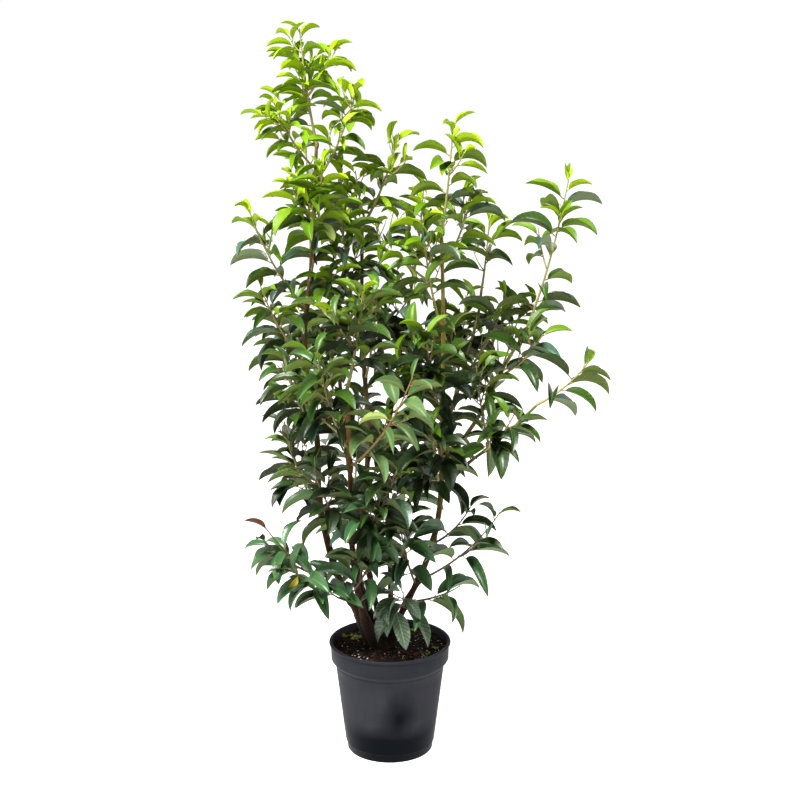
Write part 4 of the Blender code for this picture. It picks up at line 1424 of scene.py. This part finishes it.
@dataclass
class LeafBatch:
    """Many leaves of one finish, built at once as thin closed shells."""

    leaves: list = field(default_factory=list)
    stations: tuple = (0.0, 0.06, 0.12, 0.145, 0.18, 0.235, 0.305, 0.39, 0.48, 0.57, 0.66,
                       0.75, 0.83, 0.90, 0.955, 1.0)
    columns: tuple = (-1.0, -0.5, 0.0, 0.5, 1.0)
    stalk_end: float = 0.12
    stalk_radius: float = 0.0007
    thickness: float = 0.00035
    rib_depth: float = 0.0006
    stalk_taper: float = 0.7
    swell: float = 0.70  # exponents of the blade's outline, at the base and at the tip
    taper: float = 0.95
    bend: float = 1.25  # more of the bend is near the tip
    bowl: float = 0.25  # how far a half flattens from the rib to the edge
    teeth: float = 0.006
    waves: float = 15.0  # of the edge, in radians for a leaf's length
    wave_lag: float = 1.2  # by which one edge waves earlier and the other later
    wave_start: tuple = (311.0, 173.0)  # how it changes from leaf to leaf, across and in depth
    map_rim: float = 0.01  # free rim of the map
    map_side: float = 0.48  # share of the map that a side of the leaf takes up

    def add(self, leaf: Leaf) -> None:
        """Keep one more leaf."""
        self.leaves.append(leaf)

    def outline(self, share: np.ndarray) -> np.ndarray:
        """The blade's half width along the leaf.

        Args:
            share: places along the leaf, from 0 to 1.

        Returns:
            The half widths, at most 1 but for the teeth.
        """
        x = np.clip((share - self.stalk_end) / (1.0 - self.stalk_end), 0.0, 1.0)
        widest = self.swell / (self.swell + self.taper)
        most = widest ** self.swell * (1.0 - widest) ** self.taper
        teeth = 1.0 + self.teeth * np.where(np.arange(len(share)) % 2, 1.0, -1.0)
        return x ** self.swell * (1.0 - x) ** self.taper / most * teeth

    def places(self) -> np.ndarray:
        """Each corner's place on the map: the upper side first, the under side above it.

        Returns:
            Pairs of numbers from 0 to 1, in the order of the corners.
        """
        last = len(self.columns) - 1
        rim, side = self.map_rim, self.map_side
        upper = [rim + side * index / last for index in range(last + 1)]
        under = [1.0 - rim - side * index / last for index in range(last + 1)]
        pairs = list(zip(upper, upper[1:])) + list(zip(under, under[1:]))
        found = []
        for low, high in zip(self.stations, self.stations[1:]):
            for start, end in pairs:
                found += [(low, start), (low, end), (high, end), (high, start)]
        for end in (self.stations[0], self.stations[-1]):  # the two caps
            found += [(end, 0.25)] * len(pairs)
        return np.array(found)

    def numbers(self, name: str) -> np.ndarray:
        """One number of every leaf's form, ready to meet stations and columns."""
        return np.array([getattr(leaf.form, name) for leaf in self.leaves])[:, None, None]

    def vectors(self, name: str) -> np.ndarray:
        """One vector of every leaf, ready to meet the stations."""
        return np.array([getattr(leaf, name) for leaf in self.leaves])[:, None, :]

    def spines(self, share: np.ndarray) -> tuple[np.ndarray, np.ndarray, np.ndarray]:
        """Bend and twist every leaf.

        Args:
            share: the stations, along the second of three axes.

        Returns:
            By leaf and station: the place on the rib, the way to one side and the way up.
        """
        def covered(steps: np.ndarray) -> np.ndarray:
            """How far each leaf has come at each station."""
            return np.cumsum(np.pad(steps, ((0, 0), (1, 0), (0, 0))), axis=1)

        heading, face = self.vectors("heading"), self.vectors("face")
        lean = self.numbers("arc") * (1.0 / (self.bend + 1.0) - share ** self.bend)
        middle = (lean[:, 1:] + lean[:, :-1]) / 2
        step = np.diff(share, axis=1) * self.numbers("length")
        ahead, rise = covered(step * np.cos(middle)), covered(step * np.sin(middle))
        spine = self.vectors("root") + heading * ahead + face * rise
        side = np.cross(heading, face)
        above = face * np.cos(lean) - heading * np.sin(lean)
        roll = self.numbers("twist") * share
        return (spine, side * np.cos(roll) + above * np.sin(roll),
                above * np.cos(roll) - side * np.sin(roll))

    def rings(self) -> np.ndarray:
        """Give every bent rib its blade.

        Returns:
            The corners of all leaves, by leaf, by station and round the section.
        """
        share = np.array(self.stations)[None, :, None]
        off = np.array(self.columns)[None, None, :]
        spine, side, above = self.spines(share)
        flat = share > self.stalk_end
        fold, root = self.numbers("fold"), self.vectors("root")
        length, width = self.numbers("length"), self.numbers("width")
        blade = self.outline(share[0, :, 0])[None, :, None] * length * width / 2
        half = np.maximum(blade, self.stalk_radius * (1.0 - self.stalk_taper * share))
        start = root[..., :1] * self.wave_start[0] + root[..., 1:2] * self.wave_start[1]
        ripple = np.sin(share * self.waves + start + np.sign(off) * self.wave_lag)
        ripple = ripple * self.numbers("wave") * np.abs(off) ** 2
        bowl = np.sin(fold) * ((1.0 + self.bowl) * np.abs(off) - self.bowl * off ** 2)
        up = half * (bowl + ripple) * flat
        out = off * half * np.where(flat, np.cos(fold), 1.0)
        on_rib = off == 0.0
        deep = np.where(flat, self.thickness + self.rib_depth * on_rib,
                        self.stalk_radius * (1.0 + on_rib))
        lift = np.where(flat, 0.0, self.stalk_radius * (1.0 - np.abs(off)))
        across = spine[:, :, None] + side[:, :, None] * out[..., None]
        upper = across + above[:, :, None] * (up + lift)[..., None]
        under = across + above[:, :, None] * (up - deep)[..., None]
        return np.concatenate([upper, under[:, :, -2:0:-1]], axis=2)

    def build(self, name: str, material: bpy.types.Material) -> bpy.types.Object:
        """Make one piece of all the leaves.

        Args:
            name: the piece's name.
            material: its finish.

        Returns:
            The piece.
        """
        shape = Shape()
        shape.add_stacks(self.rings(), self.places(), (0, len(self.columns) - 1))
        return shape.build(name, material, mapped=True)


# ---- crown ----
def sloped(pair: tuple[float, float], share: float) -> float:
    """The first number of a pair, changed by the second as a share goes from 0 to 1."""
    return pair[0] + pair[1] * share


@dataclass(frozen=True)
class Branching:
    """How a shoot bears shorter ones, spiralling up it where they find room."""

    seed: str  # joined to the spray's name for the random numbers
    first: float  # shares of the shoot between which they stand
    last: float
    every: float  # length of shoot for each of them
    share: float  # length of one at the very foot, as a share of the shoot
    least: float  # least length
    room: float  # least distance to other wood
    rise: float = 0.35  # how far they turn up
    spread: float = math.radians(48.0)  # their angle off the shoot


@dataclass(frozen=True)
class LeafHabit:
    """The ranges that leaves are drawn from, and how age and droop change them.

    A range holds its ends. A change holds a start and what is added for a full age of 1,
    or for a droop of 1, as `sloped` takes them.
    """

    turn: tuple = (-0.25, 0.25)
    size: tuple = (0.86, 1.14)
    fall: tuple = (-0.12, 0.12)
    roll: tuple = (-LEAF_ROLL, LEAF_ROLL)
    arc: tuple = (40.0, 84.0)  # degrees
    fold: tuple = (34.0, 66.0)  # degrees
    width: tuple = (0.38, 0.46)
    wave: tuple = (0.02, 0.09)
    twist: tuple = (-0.35, 0.35)
    fall_by_age: tuple = (0.35, 0.65)
    arc_by_age: tuple = (0.8, 0.2)
    width_by_age: tuple = (0.90, 0.10)
    fall_by_droop: tuple = (1.15, -0.3)
    roll_by_droop: tuple = (0.35, 0.75)
    fold_by_droop: tuple = (1.3, -0.6)


@dataclass(frozen=True)
class LeafDraft:
    """A leaf as it is drawn, before it has found its place."""

    form: LeafForm
    spread: float  # its angle off the shoot
    fall: float  # how far its weight turns it down
    roll: float  # its turn about its own rib

    def seat(self, place: Vector, axis: Vector, turn: float) -> Leaf:
        """Set it on a shoot.

        Args:
            place: where on the shoot.
            axis: the shoot's direction there.
            turn: the turn about the shoot.

        Returns:
            The leaf, its upper side towards the light.
        """
        out = turned_about(axis, turn)
        out.z *= LEVELLED
        heading = axis * math.cos(self.spread) + out * math.sin(self.spread) - UP * self.fall
        heading.normalize()
        above = axis * 0.5 + UP * 1.5 - out / 4  # up, a little along the shoot and back to it
        face = square_to(above, heading)
        face = face * math.cos(self.roll) + heading.cross(face) * math.sin(self.roll)
        return Leaf(place, heading, face, self.form)


@dataclass
class Room:
    """The space that limbs and leaves already fill."""

    limbs: list
    cell: float = 0.012
    apart: float = 0.0040  # least distance from one leaf's rib to the next
    off_wood: float = 0.006
    over: float = 0.004  # how far a rib may reach past the frame's box
    filled: dict = field(default_factory=dict)  # points of ribs, by cell

    def cells_round(self, place: Vector) -> Iterator[tuple[int, int, int]]:
        """The cell of a place and the cells next to it.

        Args:
            place: the place.

        Yields:
            The cells, as whole numbers.
        """
        home = [math.floor(part / self.cell) for part in place]
        for x in (-1, 0, 1):
            for y in (-1, 0, 1):
                for z in (-1, 0, 1):
                    yield home[0] + x, home[1] + y, home[2] + z

    def free(self, places: list[Vector]) -> bool:
        """Whether a leaf can lie there.

        Args:
            places: points along its rib.

        Returns:
            True if they are in or near the frame's box and clear of wood and leaves.
        """
        low, high = CAD_BOX
        for place in places:
            if any(not low[axis] - self.over < place[axis] < high[axis] + self.over
                   for axis in range(3)):
                return False
            if any(distance_to(place, limb) < self.off_wood for limb in self.limbs):
                return False
            for cell in self.cells_round(place):
                if any((place - other).length < self.apart for other in self.filled.get(cell, ())):
                    return False
        return True

    def fill(self, places: list[Vector]) -> None:
        """Mark the space of a leaf as taken.

        Args:
            places: points along its rib.
        """
        for place in places:
            home = tuple(math.floor(part / self.cell) for part in place)
            self.filled.setdefault(home, []).append(place)


@dataclass
class Shoot:
    """One shoot of a spray, with its order: 0 main, 1 side, 2 fine."""

    line: list
    order: int
    root: Vector | None = None  # where its wood starts, inside its limb
    radius: float = 0.0  # of the limb's tip, if the shoot goes on from it


@dataclass
class Crown:
    """All leafy sprays, grown from the limbs."""

    side: Branching = Branching(" side", 0.34, 0.76, 0.12, 0.46, 0.045, 0.012)
    fine: Branching = Branching(" fine", 0.14, 0.90, 0.038, 0.34, 0.036, 0.007)
    habit: LeafHabit = LeafHabit()
    spacing: float = 0.200  # from one leaf to the next, as a share of a leaf
    leafless: float = 0.010  # least bare length at the foot of a shoot
    tip_gap: float = 0.001  # from the last leaf to the tip
    leaf_scale: float = 1.22
    order_loss: float = 0.07  # how much smaller leaves are for each order of shoot
    fine_size: float = 0.82  # least size of a leaf on the finest shoots
    full_light: float = 0.89  # the share of the plant's height where its top is freshest
    light_gain: tuple = (0.60, 0.50)  # how fresh light makes a leaf, as `sloped` takes it
    youth_gain: float = 0.60
    tone_scatter: float = 0.11
    tone_limits: tuple = ((0.33, Tone.DUSK), (0.50, Tone.DEEP), (0.67, Tone.MID),
                          (0.82, Tone.FRESH), (0.98, Tone.SPRING))  # and lime over them
    blush_spray: str = "front_right_spray"  # a red shoot with leaves of its own tone
    silver_spray: str = "low_front_spray"
    # a share of the older leaves gets the painted sheen
    painted_sheen_share: float = 0.13
    painted_sheen_youth: float = 0.3  # only leaves that are less young and less fresh
    painted_sheen_limit: float = 0.82
    olive_share: float = 0.55
    olive_sprays: tuple = ("front_top_spray", "front_left_spray", "middle_front_spray",
                           "left_west_inner_spray")
    shade_share: float = 0.85  # of the inner leaves, which get the painted shade
    shade_reach: float = 0.52  # up to this share of a main or side shoot
    shade_heights: tuple = (0.46, 0.80)
    shade_radius: float = 0.19  # from the line through the pot's middle
    freshness: tuple = (1.0, 0.8, 0.5)  # how young the tips look, by the order of the shoot
    woody_height: float = 0.45  # sprays that leave their limb under it are woody
    twig_radii: tuple = ((0.0024, 0.0010), (0.0016, 0.0009), (0.0012, 0.0007))
    twig_root: float = 1.15  # how much thicker a twig is inside its limb
    tip_fit: float = 0.9  # how much thinner a shoot starts inside the tip that it goes on from
    twig_sunk: float = 0.004  # how deep it starts there
    twig_step: float = 0.008
    twig_sides: int = 7
    bud_length: float = 0.005
    bud: tuple = ((0.3, 1.25), (0.7, 0.8), (1.0, 0.15))  # share of its length, thickness
    leaves: dict = field(default_factory=lambda: {tone: LeafBatch() for tone in Tone})
    twigs: dict = field(default_factory=dict)

    def way_out(self, spray: Spray, limb: list[Vector]) -> tuple[Vector, Vector]:
        """Where a spray leaves its limb.

        Args:
            spray: the spray.
            limb: the middle line of its limb.

        Returns:
            The place, and the direction straight off the limb there, or on from its tip.
        """
        if not spray.height:
            return limb[-1], (limb[-1] - limb[-2]).normalized()
        below, _above = cut_at_height(limb, spray.height)
        place = below[-1]
        heading = bowed_line(place, Vector(spray.tips[0]))[1] - place
        return place, square_to(heading, (place - below[-2]).normalized())

    def first_lines(self, spray: Spray, limb: list[Vector]) -> list[list[Vector]]:
        """The lines of the shoots whose tips are given.

        Args:
            spray: the spray.
            limb: the middle line of its limb.

        Returns:
            The main shoot from its limb, then the side shoots from the main one.
        """
        tip = Vector(spray.tips[0])
        place, outward = self.way_out(spray, limb)
        start = place + outward * (SHOOT_OFFSET if spray.height else SHOOT_RADIUS)
        lines = [bowed_line(start, tip)]
        for side_tip in map(Vector, spray.tips[1:]):
            reach = Vector((side_tip.x - tip.x, side_tip.y - tip.y)).length
            height = max(start.z + FORK_LEAST, side_tip.z - FORK_DROP * reach)
            below, _above = cut_at_height(lines[0], height)
            lines.append(bowed_line(below[-1], side_tip))
        return lines

    def branch(self, way: Branching, spray: Spray, lines: list, standing: list) -> list:
        """Shorter shoots on each of the given ones, where nothing is in their way.

        Args:
            way: how they are borne.
            spray: the spray that they belong to.
            lines: the shoots that bear them.
            standing: all shoots and limbs so far, which the new ones join.

        Returns:
            The new lines.
        """
        dice = random.Random(spray.name + way.seed)
        grown = []
        for line in lines:
            length = line_length(line)
            count = int(length / way.every)
            turn = dice.uniform(0.0, math.tau)
            for index in range(count):
                share = way.first + (way.last - way.first) * (index + 0.5) / count
                place, axis = at_length(line, length * share)
                reach = max(way.least, way.share * length * (1.0 - share))
                out = turned_about(axis, turn)
                turn += SIDE_TURN
                heading = axis * math.cos(way.spread) + out * math.sin(way.spread)
                tip = place + (heading + UP * way.rise).normalized() * reach
                side = bowed_line(place, tip)
                if all(distance_to(point, other) > way.room
                       for point in side[1:] for other in standing):
                    grown.append(side)
                    standing.append(side)
        return grown

    def tone(self, spray: Spray, height: float, youth: float, inner: bool,
             dice: random.Random) -> Tone:
        """Choose a leaf's colour: fresher up the plant and towards a shoot's tip.

        Args:
            spray: the spray that bears it.
            height: how high it grows.
            youth: 1 at the tip of its shoot, 0 where leaves are full grown.
            inner: whether it grows near the stem, deep in the crown, where it may be given painted
                shade.
            dice: the spray's own random numbers.

        Returns:
            The tone.
        """
        if spray.name == self.blush_spray:
            return Tone.BLUSH
        if spray.name == self.silver_spray:
            return Tone.SILVER
        light = min(self.full_light, height / PLANT_TOP)
        value = light * (sloped(self.light_gain, light) + self.youth_gain * youth)
        value += dice.uniform(-self.tone_scatter, self.tone_scatter)
        chance = dice.random()
        # painted shade: most inner leaves get the darker copy
        if inner and chance < self.shade_share:
            return Tone.SHADE
        if chance < self.olive_share and spray.name in self.olive_sprays:
            return Tone.OLIVE
        # painted sheen: some older, darker leaves get the blue-grey copy
        painted_sheen = youth < self.painted_sheen_youth and value < self.painted_sheen_limit
        if painted_sheen and chance > 1.0 - self.painted_sheen_share:
            return Tone.TEAL
        return next((tone for limit, tone in self.tone_limits if value < limit), Tone.LIME)

    def draft(self, spray: Spray, order: int, share: float, age: float,
              dice: random.Random) -> LeafDraft:
        """Draw one leaf.

        Args:
            spray: the spray that bears it.
            order: the order of its shoot.
            share: how far up the leafy part of the shoot it sits.
            age: 0 at the tip of the shoot, 1 where leaves are full grown.
            dice: the spray's own random numbers.

        Returns:
            The leaf without its place.
        """
        habit = self.habit
        grown = YOUNG_SIZE + (1.0 - YOUNG_SIZE) * age
        if order > 1:
            grown = max(grown, self.fine_size)
        size = spray.leaf * self.leaf_scale * grown * dice.uniform(*habit.size)
        size *= 1.0 - self.order_loss * order
        fall = spray.droop * sloped(habit.fall_by_age, age) * (OLD_DROOP + (1.0 - share) / 2)
        fall = fall * sloped(habit.fall_by_droop, spray.droop) + dice.uniform(*habit.fall)
        roll = dice.uniform(*habit.roll) * sloped(habit.roll_by_droop, spray.droop)
        arc = math.radians(dice.uniform(*habit.arc)) * sloped(habit.arc_by_age, age)
        fold = math.radians(dice.uniform(*habit.fold))
        fold *= sloped(habit.fold_by_droop, min(1.0, spray.droop))
        width = dice.uniform(*habit.width) * sloped(habit.width_by_age, age)
        wave = dice.uniform(*habit.wave)
        twist = dice.uniform(*habit.twist)
        spread = LEAF_SPREAD * (YOUNG_SPREAD + (1.0 - YOUNG_SPREAD) * age)
        return LeafDraft(LeafForm(size, width, arc, fold, wave, twist), spread, fall, roll)

    def grow_leaves(self, spray: Spray, shoot: Shoot, room: Room, dice: random.Random) -> None:
        """Deal out the leaves of one shoot, leaving out those that find no room.

        Args:
            spray: the spray.
            shoot: one of its shoots.
            room: what is already there.
            dice: the spray's own random numbers.
        """
        length = line_length(shoot.line)
        thin = random.Random(f"{spray.name} thin {shoot.order} {length:.4f}")
        first = max(self.leafless, spray.bare * length)
        young = YOUNG_LEAVES - (shoot.order > 1)
        count = max(young, round((length - first) / (self.spacing * spray.leaf)) + 1)
        turn = dice.uniform(0.0, math.tau)
        low, high = self.shade_heights
        for index in range(count):
            share = index / (count - 1)
            along = first + (length - first - self.tip_gap) * share
            place, axis = at_length(shoot.line, along)
            turn += LEAF_TURN + dice.uniform(*self.habit.turn)
            age = min(1.0, (count - 1 - index) / YOUNG_LEAVES)
            draft = self.draft(spray, shoot.order, share, age, dice)
            # inner leaves, deep in the crown, may get the painted shade
            inner = (shoot.order < 2 and share < self.shade_reach and low < place.z < high
                     and place.xy.length < self.shade_radius)
            youth = (1.0 - age) * self.freshness[shoot.order]
            tone = self.tone(spray, place.z, youth, inner, dice)
            if thin.random() > spray.kept:
                continue
            for shift in TRIES:
                leaf = draft.seat(place, axis, turn + shift)
                spine = leaf.spine()
                if room.free(spine):
                    room.fill(spine)
                    self.leaves[tone].add(leaf)
                    break

    def set_accent(self, accent: Accent) -> None:
        """Turn the leaf nearest to an accent's place into that accent.

        Args:
            accent: how the leaf looks and hangs from then on.
        """
        near, tip = Vector(accent.near), Vector(accent.tip)
        _apart, index, tone = min(
            (((leaf.root - near).length, index, tone)
             for tone, batch in self.leaves.items() for index, leaf in enumerate(batch.leaves)),
            key=lambda found: found[0])
        leaf = self.leaves[tone].leaves.pop(index)
        heading = (tip - leaf.root).normalized()
        form = replace(leaf.form, length=accent.length, width=accent.width,
                       arc=accent.arc, fold=accent.fold)
        face = square_to(Vector(accent.face), heading)
        self.leaves[accent.tone].add(Leaf(leaf.root, heading, face, form))
        LOG.info("accent %s: %.3f m off", accent.tone.name, (leaf.root - near).length)

    def skin_of(self, spray: Spray) -> Skin:
        """The skin of a spray's shoots."""
        if spray.name == self.blush_spray:
            return Skin.RED
        return Skin.WOODY if 0.0 < spray.height < self.woody_height else Skin.GREEN

    def add_twig(self, shoot: Shoot, skin: Skin) -> None:
        """Add the wood of a shoot, from inside its limb to the bud at its tip.

        Args:
            shoot: the shoot.
            skin: what it is covered with.
        """
        line = np.array(bowed_line(shoot.line[0], shoot.line[-1], self.twig_step))
        start, end = self.twig_radii[shoot.order]
        start = max(start, shoot.radius)
        radii = np.linspace(start, end, len(line))
        ahead = (line[-1] - line[-2]) / np.linalg.norm(line[-1] - line[-2])
        bud = [line[-1] + ahead * self.bud_length * share for share, _thick in self.bud]
        line = np.concatenate([line, bud])
        radii = np.concatenate([radii, [end * thick for _share, thick in self.bud]])
        if shoot.root is not None:
            root_radius = start * (self.tip_fit if shoot.radius else self.twig_root)
            line = np.concatenate([[shoot.root], line])
            radii = np.concatenate([[root_radius], radii])
        rings = rings_along(line, radii, self.twig_sides)
        self.twigs.setdefault(skin, Shape()).add_stacks(rings[None])

    def limb_lines(self) -> dict[str, list[Vector]]:
        """The middle line of each limb, over the stool.

        Returns:
            The lines by the names of their limbs.
        """
        lines = {}
        for limb in LIMBS:
            line = smooth_line(limb.ways, LIMB_STEP)
            lines[limb.name] = cut_at_height(line, FORK)[1] if limb.rooted else line
        return lines

    def shoots_of(self, spray: Spray, lines: list, standing: list) -> list[Shoot]:
        """All shoots of a spray, with the finest ones grown on.

        Args:
            spray: the spray.
            lines: its main shoot, the side shoots with given tips and the others.
            standing: all shoots and limbs so far, which the finest ones join.

        Returns:
            The shoots, the main one first.
        """
        given = len(spray.tips)
        fine = [] if spray.airy else self.branch(self.fine, spray, lines, standing)
        shoots = [Shoot(line, min(1, index // given)) for index, line in enumerate(lines)]
        return shoots + [Shoot(line, 2) for line in fine]

    def grow(self) -> dict[str, list[Vector]]:
        """Grow every spray.

        Returns:
            For each limb, the places where sprays leave it.
        """
        limbs = self.limb_lines()
        lines = {spray.name: self.first_lines(spray, limbs[spray.parent]) for spray in SPRAYS}
        standing = [*limbs.values(), *(line for found in lines.values() for line in found)]
        for spray in SPRAYS:
            lines[spray.name] += self.branch(self.side, spray, lines[spray.name], standing)
        room = Room(list(limbs.values()))
        exits = {limb.name: [] for limb in LIMBS}
        tips = {limb.name: limb.tip_radius for limb in LIMBS}
        for spray in SPRAYS:
            shoots = self.shoots_of(spray, lines[spray.name], standing)
            root, outward = self.way_out(spray, limbs[spray.parent])
            if spray.height:
                exits[spray.parent].append(root)
                shoots[0].root = root
            else:
                shoots[0].root = root - outward * self.twig_sunk
                shoots[0].radius = tips[spray.parent]
            dice = random.Random(spray.name)
            for shoot in shoots:
                self.add_twig(shoot, self.skin_of(spray))
                self.grow_leaves(spray, shoot, room, dice)
        for accent in ACCENTS:
            self.set_accent(accent)
        return exits

    def build(self) -> None:
        """Make the twigs and the leaves in place of all the sprays' solids."""
        nodes = [spray.name for spray in SPRAYS]
        for skin, shape in self.twigs.items():
            piece = shape.build(skin.name.lower() + "_twigs", skin.value.material())
            settle(piece, "green_bark", *nodes)
        for tone, batch in self.leaves.items():
            if batch.leaves:
                piece = batch.build(tone.name.lower() + "_leaves", tone.value.material())
                young = tone in (Tone.LIME, Tone.SPRING)
                settle(piece, "young_leaf" if young else "leaf", *nodes)
        LOG.info("leaves: %d", sum(len(batch.leaves) for batch in self.leaves.values()))


# ---- studio ----
@dataclass(frozen=True)
class Lamp:
    """One round soft light, aimed at the middle of the plant."""

    name: str
    place: tuple
    size: float
    power: float


@dataclass
class Studio:
    """A plain pale floor, soft lights and the camera."""

    camera_place: tuple = (0.0185, -2.417, 1.159)
    camera_pitch: float = math.radians(90.0 - 11.82)
    lens: float = 63.0
    sight: float = 100.0  # how far the camera sees
    floor_radius: float = 30.0
    floor_depth: float = 0.01
    floor_sides: int = 64
    floor_greys: tuple = (rgb(184, 184, 184), rgb(190, 190, 190))
    floor_glow: float = 1.0
    white: tuple = (1.0, 1.0, 1.0, 1.0)
    lamps: tuple = (
        Lamp("key", (-0.9, -1.4, 3.5), 1.3, 370.0),
        Lamp("left", (-2.4, 0.2, 1.2), 1.6, 24.0),
        Lamp("right", (2.4, 0.2, 1.2), 1.6, 24.0),
        Lamp("back", (0.3, 2.2, 2.4), 1.4, 30.0),
    )
    target: tuple = (0.0, 0.0, 0.6)
    sky: float = 0.06  # how bright the room is above the pale band round the horizon
    horizon: float = 1.02
    horizon_band: tuple = (0.26, 0.50)  # slopes between which the room darkens upwards

    def lay_floor(self) -> None:
        """Lay the glowing floor, which keeps the background white."""
        disc = np.pad(circle(self.floor_sides), ((0, 0), (0, 1))) * self.floor_radius
        shape = Shape()
        shape.add_stacks(np.stack([disc - (0.0, 0.0, self.floor_depth), disc])[None])
        graph = Graph("pale_floor")
        colour = graph.mix(graph.noise(graph.place(), 2.0, 2.0), *self.floor_greys)
        floor = shape.build("floor", graph.dress(
            colour, 0.9, Emission_Color=self.white, Emission_Strength=self.floor_glow))

    def hang(self, lamp: Lamp) -> None:
        """Hang one lamp and aim it.

        Args:
            lamp: the lamp.
        """
        data = bpy.data.lights.new(lamp.name, "AREA")
        data.shape = "DISK"
        data.size = lamp.size
        data.energy = lamp.power
        hung = put_in_scene(lamp.name, data)
        hung.location = lamp.place
        aim = Vector(self.target) - Vector(lamp.place)
        hung.rotation_euler = aim.to_track_quat("-Z", "Y").to_euler()

    def light_room(self) -> None:
        """Light the room: a bright band round the horizon, dark above it."""
        graph = Graph("studio", "worlds", "Background")
        slope = graph.split(graph.node("ShaderNodeTexCoord", output="Generated"))[2]
        band = 1.0 - slope.between(*self.horizon_band)
        graph.feed(graph.shader.inputs["Color"], self.white)
        graph.feed(graph.shader.inputs["Strength"], band * (self.horizon - self.sky) + self.sky)
        bpy.context.scene.world = graph.owner
        bpy.context.scene.view_settings.view_transform = "Standard"

    def set_camera(self) -> None:
        """Set up the camera."""
        data = bpy.data.cameras.new("camera")
        data.lens = self.lens
        data.clip_end = self.sight
        camera = put_in_scene("camera", data)
        camera.location = self.camera_place
        camera.rotation_euler = (self.camera_pitch, 0.0, 0.0)
        bpy.context.scene.camera = camera

    def build(self) -> None:
        """Put up the floor, the light and the camera."""
        self.lay_floor()
        for lamp in self.lamps:
            self.hang(lamp)
        self.light_room()
        self.set_camera()


def main() -> None:
    """Build the studio, the pot, the compost and the plant."""
    logging.basicConfig(level=logging.INFO, format="%(message)s")
    Studio().build()
    NurseryPot().build()
    Compost().build()
    crown = Crown()
    exits = crown.grow()
    wood = Wood()
    wood.build_stool()
    for limb in LIMBS:
        wood.build_limb(limb, exits[limb.name])
    crown.build()


if __name__ == "__main__":
    main()
